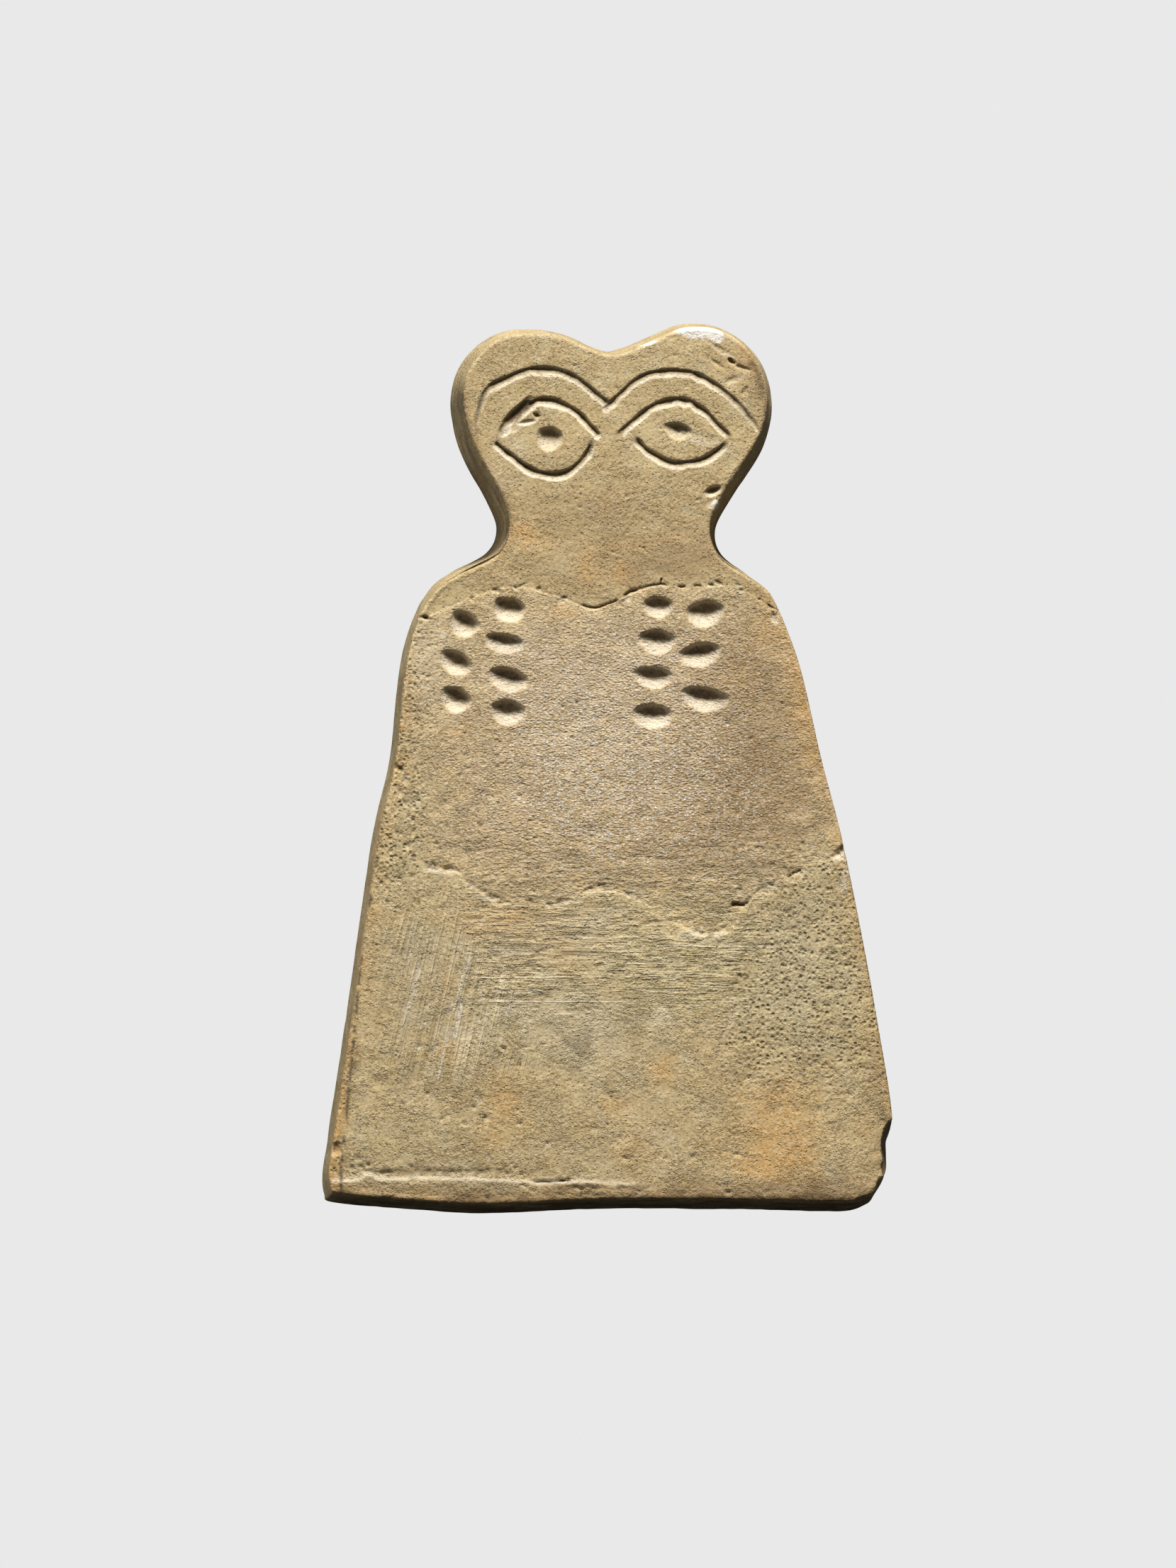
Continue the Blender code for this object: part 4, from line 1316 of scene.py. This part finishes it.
class Nodes:
    """Adds and joins the nodes of one tree."""

    def __init__(self, tree: bpy.types.NodeTree) -> None:
        """Keeps the tree.

        Args:
            tree: The tree to add to.
        """
        self.tree = tree

    def add(self, kind: str, values: dict | None = None, **settings: object) -> bpy.types.Node:
        """Adds a node.

        Args:
            kind: The node's type.
            values: Values or sockets for its inputs, by name or number.
            **settings: Properties of the node.

        Returns:
            The node.
        """
        node = self.tree.nodes.new(kind)
        for name, setting in settings.items():
            setattr(node, name, setting)
        for name, value in (values or {}).items():
            self.feed(node.inputs[name], value)
        return node

    def feed(self, socket: bpy.types.NodeSocket, value: object) -> None:
        """Sets an input to a value, or joins it to an output."""
        if isinstance(value, bpy.types.NodeSocket):
            self.tree.links.new(value, socket)
        else:
            socket.default_value = value

    def sum(self, first: object, second: object, operation: str = "ADD") -> bpy.types.NodeSocket:
        """The result of a sum on two numbers or sockets."""
        return self.add("ShaderNodeMath", {0: first, 1: second}, operation=operation).outputs[0]

    def times(self, first: object, second: object) -> bpy.types.NodeSocket:
        """The product of two numbers or sockets."""
        return self.sum(first, second, "MULTIPLY")

    def larger(self, first: object, second: object) -> bpy.types.NodeSocket:
        """The larger of two numbers or sockets."""
        return self.sum(first, second, "MAXIMUM")

    def line(self, base: float, value: object, slope: float) -> bpy.types.NodeSocket:
        """A number that is base where the value is 0, and changes evenly with it."""
        return self.sum(base, self.times(value, slope))

    def rest_of(self, share: object) -> bpy.types.NodeSocket:
        """What is left of 1 beside a share."""
        return self.sum(1.0, share, "SUBTRACT")

    def vector(
        self, operation: str, first: object, second: object, output: str = "Vector"
    ) -> bpy.types.NodeSocket:
        """The result of a sum on two vectors."""
        return self.add("ShaderNodeVectorMath", {0: first, 1: second}, operation=operation).outputs[output]

    def scaled(self, vector: object, scale: object) -> bpy.types.NodeSocket:
        """A vector made longer or shorter."""
        return self.add("ShaderNodeVectorMath", {0: vector, "Scale": scale}, operation="SCALE").outputs[0]

    def noise(
        self, place: object, scale: object, detail: object = 2.0, rough: float = 0.5, output: str = "Fac"
    ) -> bpy.types.NodeSocket:
        """Soft noise at a place."""
        values = {"Vector": place, "Scale": scale, "Detail": detail, "Roughness": rough}
        return self.add("ShaderNodeTexNoise", values).outputs[output]

    def ramp(self, value: object, low: object, high: object) -> bpy.types.NodeSocket:
        """A smooth rise from 0 at low to 1 at high."""
        values = {"Value": value, "From Min": low, "From Max": high}
        return self.add("ShaderNodeMapRange", values, interpolation_type="SMOOTHSTEP").outputs["Result"]

    def blend(self, share: object, first: object, second: object) -> bpy.types.NodeSocket:
        """A colour that goes from the first to the second."""
        node = self.add("ShaderNodeMix", data_type="RGBA")
        sockets = [socket for socket in node.inputs if socket.enabled]
        for socket, value in zip(sockets, (share, first, second)):
            self.feed(socket, value)
        return next(socket for socket in node.outputs if socket.enabled)

    def coats(self, base: object, *coats: tuple[object, object]) -> bpy.types.NodeSocket:
        """A colour with other colours laid over it in turn.

        Args:
            base: The colour underneath.
            *coats: Share and colour of each coat.

        Returns:
            The colour on top.
        """
        for share, colour in coats:
            base = self.blend(share, base, colour)
        return base

    def heaped(self, base: object, *heights: tuple[object, float]) -> bpy.types.NodeSocket:
        """A height with others added to it.

        Args:
            base: The height underneath.
            *heights: Each height and how much of it is added.

        Returns:
            The whole height.
        """
        for height, amount in heights:
            base = self.sum(base, self.times(height, amount))
        return base

    def split(self, name: str) -> list[bpy.types.NodeSocket]:
        """The three channels of a mesh attribute."""
        read = self.add("ShaderNodeAttribute", attribute_name=name)
        parts = self.add("ShaderNodeSeparateColor", {"Color": read.outputs["Color"]})
        return [parts.outputs[channel] for channel in ("Red", "Green", "Blue")]


@dataclass(frozen=True)
class Effects:
    """The stone's shared surface effects, as shader node groups."""

    @staticmethod
    def _group(
        name: str, inputs: dict[str, float | None], outputs: tuple[str, ...]
    ) -> tuple[Nodes, dict[str, bpy.types.NodeSocket], bpy.types.Node]:
        """Starts a group.

        Args:
            name: Name of the group.
            inputs: Names and default values of its inputs; None is a vector.
            outputs: Names of its outputs, which are numbers.

        Returns:
            Its nodes, its inputs' sockets by name and its output node.
        """
        tree = bpy.data.node_groups.new(name, "ShaderNodeTree")
        for key, value in inputs.items():
            kind = "NodeSocketVector" if value is None else "NodeSocketFloat"
            socket = tree.interface.new_socket(key, in_out="INPUT", socket_type=kind)
            if value is not None:
                socket.default_value = value
        for key in outputs:
            tree.interface.new_socket(key, in_out="OUTPUT", socket_type="NodeSocketFloat")
        nodes = Nodes(tree)
        start = nodes.add("NodeGroupInput")
        end = nodes.add("NodeGroupOutput")
        return nodes, {key: start.outputs[key] for key in inputs}, end

    @classmethod
    def mottle(cls) -> bpy.types.NodeTree:
        """Cloudy patches: a mask from 0 to 1.

        Returns:
            The group.
        """
        nodes, given, end = cls._group(
            "stone_mottle", {"Place": None, "Scale": 500.0, "Low": 0.4, "High": 0.6, "Detail": 4.0}, ("Mask",)
        )
        clouds = nodes.noise(given["Place"], given["Scale"], given["Detail"], 0.6)
        nodes.feed(end.inputs["Mask"], nodes.ramp(clouds, given["Low"], given["High"]))
        return nodes.tree

    @classmethod
    def grain(cls) -> bpy.types.NodeTree:
        """Fine crumbly grain: a height from 0 to 1.

        Returns:
            The group.
        """
        nodes, given, end = cls._group(
            "stone_grain", {"Place": None, "Scale": 3000.0, "Fine": 0.4}, ("Height",)
        )
        coarse = nodes.noise(given["Place"], given["Scale"], 3.0, 0.65)
        tight = nodes.noise(given["Place"], nodes.times(given["Scale"], 3.1))
        nodes.feed(end.inputs["Height"], nodes.sum(coarse, nodes.times(tight, given["Fine"])))
        return nodes.tree

    @classmethod
    def pits(cls) -> bpy.types.NodeTree:
        """Small ragged pits: a mask that is 1 at their bottoms.

        Returns:
            The group.
        """
        nodes, given, end = cls._group(
            "stone_pits", {"Place": None, "Scale": 2200.0, "Size": 0.3, "Cover": 0.5}, ("Mask",)
        )
        bend = nodes.noise(given["Place"], nodes.times(given["Scale"], 0.8), output="Color")
        moved = nodes.vector("ADD", given["Place"], nodes.scaled(bend, 0.00014))
        cells = nodes.add("ShaderNodeTexVoronoi", {"Vector": moved, "Scale": given["Scale"]})
        chosen = nodes.add("ShaderNodeSeparateColor", {"Color": cells.outputs["Color"]})
        open_cell = nodes.sum(chosen.outputs["Red"], given["Cover"], "LESS_THAN")
        depth = nodes.ramp(cells.outputs["Distance"], given["Size"], 0.0)
        nodes.feed(end.inputs["Mask"], nodes.times(depth, open_cell))
        return nodes.tree

    @classmethod
    def granules(cls) -> bpy.types.NodeTree:
        """Crystal grains packed together: their height, and masks of the bright and of the dark ones.

        Returns:
            The group.
        """
        nodes, given, end = cls._group(
            "stone_granules", {"Place": None, "Scale": 3400.0, "Bright": 0.15, "Dark": 0.15},
            ("Height", "Light", "Dim"),
        )
        wide = nodes.vector("MULTIPLY", given["Place"], (0.75, 1.2, 1.0))
        cells = nodes.add("ShaderNodeTexVoronoi", {"Vector": wide, "Scale": given["Scale"]})
        chosen = nodes.add("ShaderNodeSeparateColor", {"Color": cells.outputs["Color"]})
        distance = cells.outputs["Distance"]
        core = nodes.ramp(distance, 0.62, 0.30)
        domed = nodes.rest_of(nodes.times(distance, 1.1))
        nodes.feed(end.inputs["Height"], nodes.times(domed, nodes.sum(0.5, chosen.outputs["Green"])))
        for output, channel, share in (("Light", "Red", "Bright"), ("Dim", "Blue", "Dark")):
            picked = nodes.sum(chosen.outputs[channel], given[share], "LESS_THAN")
            nodes.feed(end.inputs[output], nodes.times(picked, core))
        return nodes.tree

    @classmethod
    def scratch(cls) -> bpy.types.NodeTree:
        """One thin scratch between two plan positions: a mask from 0 to 1.

        Returns:
            The group.
        """
        nodes, given, end = cls._group(
            "stone_scratch", {"Place": None, "Start": None, "End": None, "Width": 0.0001}, ("Mask",)
        )
        away = nodes.vector("SUBTRACT", given["Place"], given["Start"])
        reach = nodes.vector("SUBTRACT", given["End"], given["Start"])
        share = nodes.add(
            "ShaderNodeMath",
            {
                0: nodes.vector("DOT_PRODUCT", away, reach, "Value"),
                1: nodes.vector("DOT_PRODUCT", reach, reach, "Value"),
            },
            operation="DIVIDE", use_clamp=True,
        ).outputs[0]
        gap = nodes.vector("DISTANCE", away, nodes.scaled(reach, share), "Value")
        taper = nodes.ramp(nodes.times(share, nodes.rest_of(share)), 0.0, 0.15)
        nodes.feed(end.inputs["Mask"], nodes.ramp(gap, nodes.times(given["Width"], taper), 0.0))
        return nodes.tree

    @classmethod
    def strokes(cls) -> bpy.types.NodeTree:
        """Fine strokes that all run one way: a height from 0 to 1.

        Returns:
            The group.
        """
        nodes, given, end = cls._group(
            "stone_strokes", {"Place": None, "Turn": 0.0, "Width": 4200.0, "Length": 260.0}, ("Height",)
        )
        turned = nodes.add(
            "ShaderNodeVectorRotate", {"Vector": given["Place"], "Angle": given["Turn"]},
            rotation_type="Z_AXIS",
        )
        size = nodes.add(
            "ShaderNodeCombineXYZ", {"X": given["Length"], "Y": given["Width"], "Z": given["Length"]}
        )
        stretched = nodes.vector("MULTIPLY", turned.outputs[0], size.outputs[0])
        nodes.feed(end.inputs["Height"], nodes.noise(stretched, 1.0, 2.5, 0.6))
        return nodes.tree

    @classmethod
    def build(cls) -> dict[str, bpy.types.NodeTree]:
        """Builds each effect once, and gives them by name."""
        makers = (cls.mottle, cls.grain, cls.pits, cls.granules, cls.scratch, cls.strokes)
        return {maker.__name__: maker() for maker in makers}


class Surface(Nodes):
    """The nodes of one stone material, with the shared effects at hand."""

    def __init__(self, tree: bpy.types.NodeTree, groups: dict[str, bpy.types.NodeTree]) -> None:
        """Keeps the tree and the effects, and reads where each place is.

        Args:
            tree: The material's tree.
            groups: The shared effects by name.
        """
        super().__init__(tree)
        self.groups = groups
        self.place = self.add("ShaderNodeTexCoord").outputs["Object"]

    def effect(self, name: str, **values: object) -> bpy.types.Node:
        """One of the effects.

        Args:
            name: Name of the effect.
            **values: Values of its inputs.

        Returns:
            Its node.
        """
        node = self.add("ShaderNodeGroup", node_tree=self.groups[name])
        self.feed(node.inputs["Place"], self.place)
        for key, value in values.items():
            self.feed(node.inputs[key], value)
        return node

    def use(self, name: str, **values: object) -> bpy.types.NodeSocket:
        """The first output of one of the effects, with these values."""
        return self.effect(name, **values).outputs[0]


@dataclass(frozen=True)
class StoneFinish:
    """Worn pale stone: tan on the head and skirt, rosy and sugary on the chest, darkened in its cuts by grime
    and by painted shade.
    """

    tan: tuple[float, float, float, float] = (0.69, 0.52, 0.265, 1.0)
    buff: tuple[float, float, float, float] = (0.48, 0.34, 0.155, 1.0)
    olive: tuple[float, float, float, float] = (0.27, 0.205, 0.08, 1.0)
    brown: tuple[float, float, float, float] = (0.36, 0.235, 0.11, 1.0)
    grey: tuple[float, float, float, float] = (0.58, 0.48, 0.28, 1.0)
    rose: tuple[float, float, float, float] = (0.60, 0.40, 0.215, 1.0)
    rose_dark: tuple[float, float, float, float] = (0.44, 0.28, 0.13, 1.0)
    olive_stone: tuple[float, float, float, float] = (0.56, 0.46, 0.24, 1.0)
    umber: tuple[float, float, float, float] = (0.31, 0.18, 0.07, 1.0)
    ochre: tuple[float, float, float, float] = (0.76, 0.40, 0.10, 1.0)
    cream: tuple[float, float, float, float] = (0.90, 0.74, 0.45, 1.0)
    honey: tuple[float, float, float, float] = (0.60, 0.395, 0.14, 1.0)
    ivory: tuple[float, float, float, float] = (0.90, 0.80, 0.62, 1.0)
    crystal: tuple[float, float, float, float] = (1.0, 0.94, 0.86, 1.0)
    chalky: tuple[float, float, float, float] = (0.98, 0.92, 0.82, 1.0)
    loam: tuple[float, float, float, float] = (0.17, 0.105, 0.045, 1.0)
    # Near-black brown for dirt and for painted shade
    grime_and_shade: tuple[float, float, float, float] = (0.075, 0.055, 0.03, 1.0)
    # Start and end, half width and strength of each
    scratches: tuple[tuple[Point, Point, float, float], ...] = (
        ((-10.7, -17.2), (-11.3, -20.2), 0.13, 1.8),
        ((-10.0, -13.5), (-11.6, -18.6), 0.20, 0.9),
        ((-11.7, -18.9), (-12.6, -23.3), 0.11, 1.1),
        ((-13.7, -14.5), (-15.1, -19.2), 0.19, 0.9),
        ((-7.0, -16.0), (-8.1, -21.0), 0.13, 1.1),
        ((-8.8, -17.2), (-9.7, -21.3), 0.12, 0.9),
        ((-10.2, -15.6), (-2.0, -15.5), 0.09, 1.0),
        ((-10.1, -17.3), (2.5, -17.3), 0.08, 1.0),
    )

    def material(self) -> bpy.types.Material:
        """Builds the material.

        Returns:
            The stone.
        """
        material = bpy.data.materials.new("worn_pale_stone")
        material.use_nodes = True
        nodes = Surface(material.node_tree, Effects.build())
        shader = material.node_tree.nodes["Principled BSDF"]
        ochre, pink, umber = nodes.split("tone")
        dirt_and_shade, pale, crystal = nodes.split("wear")
        pitted, combed, slanted = nodes.split("cut")
        head, olive, side = nodes.split("zone")
        flaky, soil, chalk = nodes.split("skin")

        broad = nodes.use("mottle", Scale=330.0, Low=0.38, High=0.64)
        middling = nodes.use("mottle", Scale=900.0, Low=0.38, High=0.64, Detail=6.0)
        fine = nodes.use("mottle", Scale=5200.0, Low=0.38, High=0.62, Detail=3.0)
        dots = nodes.use("pits", Scale=4300.0, Size=0.60, Cover=0.42)
        stains = nodes.use("mottle", Scale=3400.0, Low=0.54, High=0.62, Detail=2.0)
        crowd = nodes.use("mottle", Scale=420.0, Low=0.36, High=0.62)
        crowded = nodes.times(stains, nodes.line(0.15, crowd, 0.65))
        specks = nodes.sum(nodes.times(dots, 0.7), crowded)
        grey_clouds = nodes.use("mottle", Scale=520.0, Low=0.48, High=0.64)
        olive_clouds = nodes.use("mottle", Scale=240.0, Low=0.40, High=0.62)
        pit_dark = nodes.times(nodes.use("pits", Scale=3000.0, Size=0.62, Cover=0.62), pitted)
        small_pit = nodes.use("pits", Scale=5200.0, Size=0.45, Cover=0.25)
        marks = self._marks(nodes, side)

        comb = nodes.use("strokes", Turn=0.03, Width=4300.0, Length=420.0)
        combed = nodes.times(combed, nodes.line(0.4, nodes.use("mottle", Scale=420.0, Low=0.38), 0.6))
        hair = nodes.use("strokes", Turn=0.01, Width=4300.0, Length=120.0)
        hairs = nodes.times(nodes.ramp(hair, 0.585, 0.65), combed)
        comb_lines = nodes.times(nodes.ramp(comb, 0.50, 0.62), combed)
        comb_dips = nodes.times(nodes.ramp(comb, 0.47, 0.36), combed)
        slant = nodes.use("strokes", Turn=-1.345, Width=3100.0, Length=95.0)
        slant_lines = nodes.times(nodes.ramp(slant, 0.56, 0.64), slanted)
        slant_dips = nodes.times(nodes.ramp(slant, 0.46, 0.36), slanted)
        thin_lines = nodes.larger(slant_lines, hairs)
        # More white grains where the crystals are: their own colour, and a painted highlight for their
        # sparkle
        sparkle = nodes.line(0.05, crystal, 0.36)
        granules = nodes.effect("granules", Scale=6000.0, Bright=sparkle, Dark=0.24)
        sugar = nodes.use("grain", Scale=6000.0, Fine=0.5)
        blotches = nodes.use("mottle", Scale=560.0, Low=0.44, High=0.60, Detail=5.0)
        clouds = nodes.use("mottle", Scale=210.0, Low=0.42, High=0.58, Detail=3.0)

        greenish = nodes.sum(nodes.times(olive, 0.75), nodes.times(olive_clouds, 0.25))
        colour = nodes.coats(
            nodes.blend(middling, self.buff, self.tan),
            (nodes.times(blotches, 0.42), self.honey),
            (nodes.times(clouds, 0.22), self.buff),
            (nodes.times(head, nodes.line(0.45, clouds, 0.35)), self.buff),
            (nodes.times(grey_clouds, 0.50), self.grey),
            (nodes.times(greenish, 0.6), self.olive_stone),
        )
        rosy = nodes.coats(
            nodes.blend(nodes.times(broad, 0.6), self.rose, self.rose_dark),
            (nodes.times(blotches, 0.35), self.honey),
            (nodes.times(nodes.ramp(sugar, 0.66, 1.0), 0.35), self.ivory),
            (nodes.times(granules.outputs["Dim"], 0.45), self.rose_dark),
            (nodes.times(granules.outputs["Light"], 0.75), self.ivory),
        )
        colour = nodes.coats(
            colour,
            (pink, rosy),
            (nodes.times(umber, nodes.line(0.52, specks, 0.45)), self.umber),
            (nodes.times(ochre, nodes.line(0.66, broad, 0.34)), self.ochre),
            (nodes.times(fine, nodes.line(0.50, head, -0.14)), self.cream),
            (nodes.times(umber, 0.42), self.brown),
        )
        green = nodes.times(olive, nodes.rest_of(pink))
        # White crystal grains, laid into the colour brighter than the stone and made glossier: their own
        # colour, and a painted highlight for their sparkle
        glint = nodes.times(nodes.use("pits", Scale=5200.0, Size=0.66, Cover=0.34), crystal)
        colour = nodes.coats(
            colour,
            (nodes.times(specks, 0.6), nodes.blend(green, self.brown, self.olive)),
            (glint, self.crystal),
            # Darker troughs between the rubbing strokes: painted shade
            (nodes.times(nodes.larger(comb_dips, slant_dips), 0.42), self.olive),
            (nodes.times(comb_lines, 0.34), self.cream),
            (nodes.times(thin_lines, 0.68), self.cream),
            (nodes.times(pit_dark, 0.7), self.olive),
            (nodes.times(small_pit, 0.40), self.grime_and_shade),
        )
        colour = nodes.coats(
            colour,
            (nodes.times(side, nodes.times(broad, 0.3)), self.olive),
            (nodes.larger(pale, nodes.times(marks, 0.75)), self.ivory),
            (nodes.times(soil, nodes.line(0.55, fine, 0.35)), self.loam),
            (nodes.times(chalk, nodes.line(0.7, fine, 0.3)), self.chalky),
            # Dirt and painted shade go on last
            (dirt_and_shade, self.grime_and_shade),
        )
        nodes.feed(shader.inputs["Base Color"], colour)
        nodes.feed(shader.inputs["Roughness"], nodes.line(0.78, glint, -0.35))
        shader.inputs["Specular IOR Level"].default_value = 0.3

        grain = nodes.use("grain", Scale=4600.0, Fine=0.5)
        flakes = nodes.use("strokes", Turn=0.02, Width=4400.0, Length=2200.0)
        streak = nodes.use("strokes", Turn=-0.75, Width=3400.0, Length=1300.0)
        cross = nodes.use("strokes", Turn=-0.12, Width=4600.0, Length=600.0)
        upright = nodes.use("strokes", Turn=-1.45, Width=3400.0, Length=700.0)
        coarseness = nodes.times(nodes.sum(0.35, crowd), nodes.line(0.10, head, -0.045))
        height = nodes.heaped(
            nodes.times(grain, coarseness),
            (nodes.times(granules.outputs["Height"], pink), 0.055),
            (nodes.times(flakes, flaky), 0.14),
            (marks, 0.03),
            (specks, -0.03),
            (nodes.times(streak, head), 0.03),
            (nodes.times(comb, combed), 0.12),
            (comb_lines, 0.02),
            (nodes.times(cross, combed), 0.12),
            (nodes.times(slant, slanted), 0.21),
            (thin_lines, 0.025),
            (nodes.times(upright, pitted), 0.12),
            (pit_dark, -0.11),
            (glint, 0.02),
            (small_pit, -0.05),
        )
        bump = nodes.add("ShaderNodeBump", {"Strength": 1.0, "Distance": MM, "Height": height})
        nodes.feed(shader.inputs["Normal"], bump.outputs["Normal"])
        return material

    def _marks(self, nodes: Surface, side: bpy.types.NodeSocket) -> bpy.types.NodeSocket:
        """The bright scratches on the skirt, with gaps in them.

        Args:
            nodes: The material's nodes.
            side: Mask of the sides, which have none.

        Returns:
            A mask from 0 to 1.
        """
        flat = nodes.vector("MULTIPLY", nodes.place, (1.0, 1.0, 0.0))
        marks = 0.0
        for start, finish, width, strength in self.scratches:
            ends = {
                name: tuple(Vector((*point, 0.0)) * MM) for name, point in (("Start", start), ("End", finish))
            }
            mask = nodes.use("scratch", Place=flat, Width=width * MM, **ends)
            marks = nodes.larger(nodes.times(mask, strength), marks)
        unbroken = nodes.use("mottle", Scale=2600.0, Low=0.28, High=0.50)
        return nodes.sum(nodes.times(marks, nodes.times(unbroken, nodes.rest_of(side))), 1.0, "MINIMUM")


@dataclass
class Studio:
    """A plain pale floor, a soft light from beyond the head, weak fill, and the camera."""

    floor_size: float = 1.2
    floor_colour: tuple[float, float, float, float] = (0.815, 0.815, 0.815, 1.0)
    frame_height: float = 2212 / 19.37
    lens: float = 300.0
    sensor: float = 36.0
    aim: tuple[float, float, float] = (-1.37, -1.21, 0.5)
    lean: Point = (-0.055, -0.055)
    key_elevation: float = math.radians(30)
    key_distance: float = 0.6
    key_size: float = 0.11
    key_power: float = 5.35
    fill_power: float = 0.32
    side_power: float = 1.0

    def build(self) -> None:
        """Builds the floor, the lights and the camera."""
        self._floor()
        self._lights()
        self._camera()

    def _floor(self) -> None:
        """A pale floor that shows evenly lit."""
        bpy.ops.object.select_all(action="DESELECT")
        bpy.ops.mesh.primitive_plane_add(size=self.floor_size, location=(0.0, 0.0, -0.00002))
        floor = bpy.context.object
        floor.name = "floor"
        material = bpy.data.materials.new("pale_floor")
        material.use_nodes = True
        nodes = Nodes(material.node_tree)
        matt = material.node_tree.nodes["Principled BSDF"]
        matt.inputs["Base Color"].default_value = (0.1, 0.1, 0.1, 1.0)
        matt.inputs["Roughness"].default_value = 1.0
        glow = nodes.add("ShaderNodeEmission", {"Color": self.floor_colour, "Strength": 1.0})
        seen = nodes.add("ShaderNodeLightPath").outputs["Is Camera Ray"]
        mix = nodes.add("ShaderNodeMixShader", {0: seen, 1: matt.outputs[0], 2: glow.outputs[0]})
        output = material.node_tree.nodes["Material Output"]
        nodes.feed(output.inputs["Surface"], mix.outputs[0])
        floor.data.materials.append(material)

    def _lamp(self, name: str, place: Vector, size: float, power: float) -> None:
        """Adds a square soft light that points at the plaque.

        Args:
            name: Name of the light.
            place: Where it hangs, in metres.
            size: Length of its side, in metres.
            power: Power in watts.
        """
        data = bpy.data.lights.new(name, "AREA")
        data.shape = "SQUARE"
        data.size = size
        data.energy = power
        lamp = bpy.data.objects.new(name, data)
        bpy.context.scene.collection.objects.link(lamp)
        lamp.location = place
        lamp.rotation_euler = (-place).to_track_quat("-Z", "Y").to_euler()

    def _lights(self) -> None:
        """The key light from beyond the head, and a weak even fill."""
        level, rise = math.cos(self.key_elevation), math.sin(self.key_elevation)
        self._lamp("key", Vector((0.05, level, rise)) * self.key_distance, self.key_size, self.key_power)
        self._lamp("fill", Vector((-0.15, -0.1, 0.7)), 0.5, self.fill_power)
        self._lamp("side", Vector((-0.6, 0.12, 0.09)), 0.25, self.side_power)
        world = bpy.data.worlds.new("soft_room")
        bpy.context.scene.world = world
        world.use_nodes = True
        back = world.node_tree.nodes["Background"]
        back.inputs["Color"].default_value = (1.0, 1.0, 1.0, 1.0)
        back.inputs["Strength"].default_value = 0.03

    def _camera(self) -> None:
        """A long lens that looks down on the face from a little to the left and below."""
        data = bpy.data.cameras.new("camera")
        data.lens = self.lens
        data.sensor_width = self.sensor
        data.clip_start = 0.01
        data.clip_end = 10.0
        camera = bpy.data.objects.new("camera", data)
        bpy.context.scene.collection.objects.link(camera)
        back = Vector((self.lean[0], self.lean[1], 1.0)).normalized()
        up = (Vector((0.0, 1.0, 0.0)) - back * back.y).normalized()
        across = up.cross(back)
        turn = Matrix((across, up, back)).transposed()
        target = Vector(self.aim) * MM
        distance = self.frame_height * MM * self.lens / self.sensor
        camera.matrix_world = Matrix.Translation(target + back * distance) @ turn.to_4x4()
        bpy.context.scene.camera = camera


def main() -> None:
    """Builds the idol and its studio, and reports each piece."""
    logging.basicConfig(level=logging.INFO, format="%(name)s: %(message)s")
    bpy.context.scene.view_settings.view_transform = "Standard"
    piece = Plaque().build()
    piece.data.materials.append(StoneFinish().material())
    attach(piece, "root")
    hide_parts("idol")
    piece.data.calc_loop_triangles()
    LOG.info("%s: %d triangles", piece.name, len(piece.data.loop_triangles))
    Studio().build()


if __name__ == "__main__":
    main()
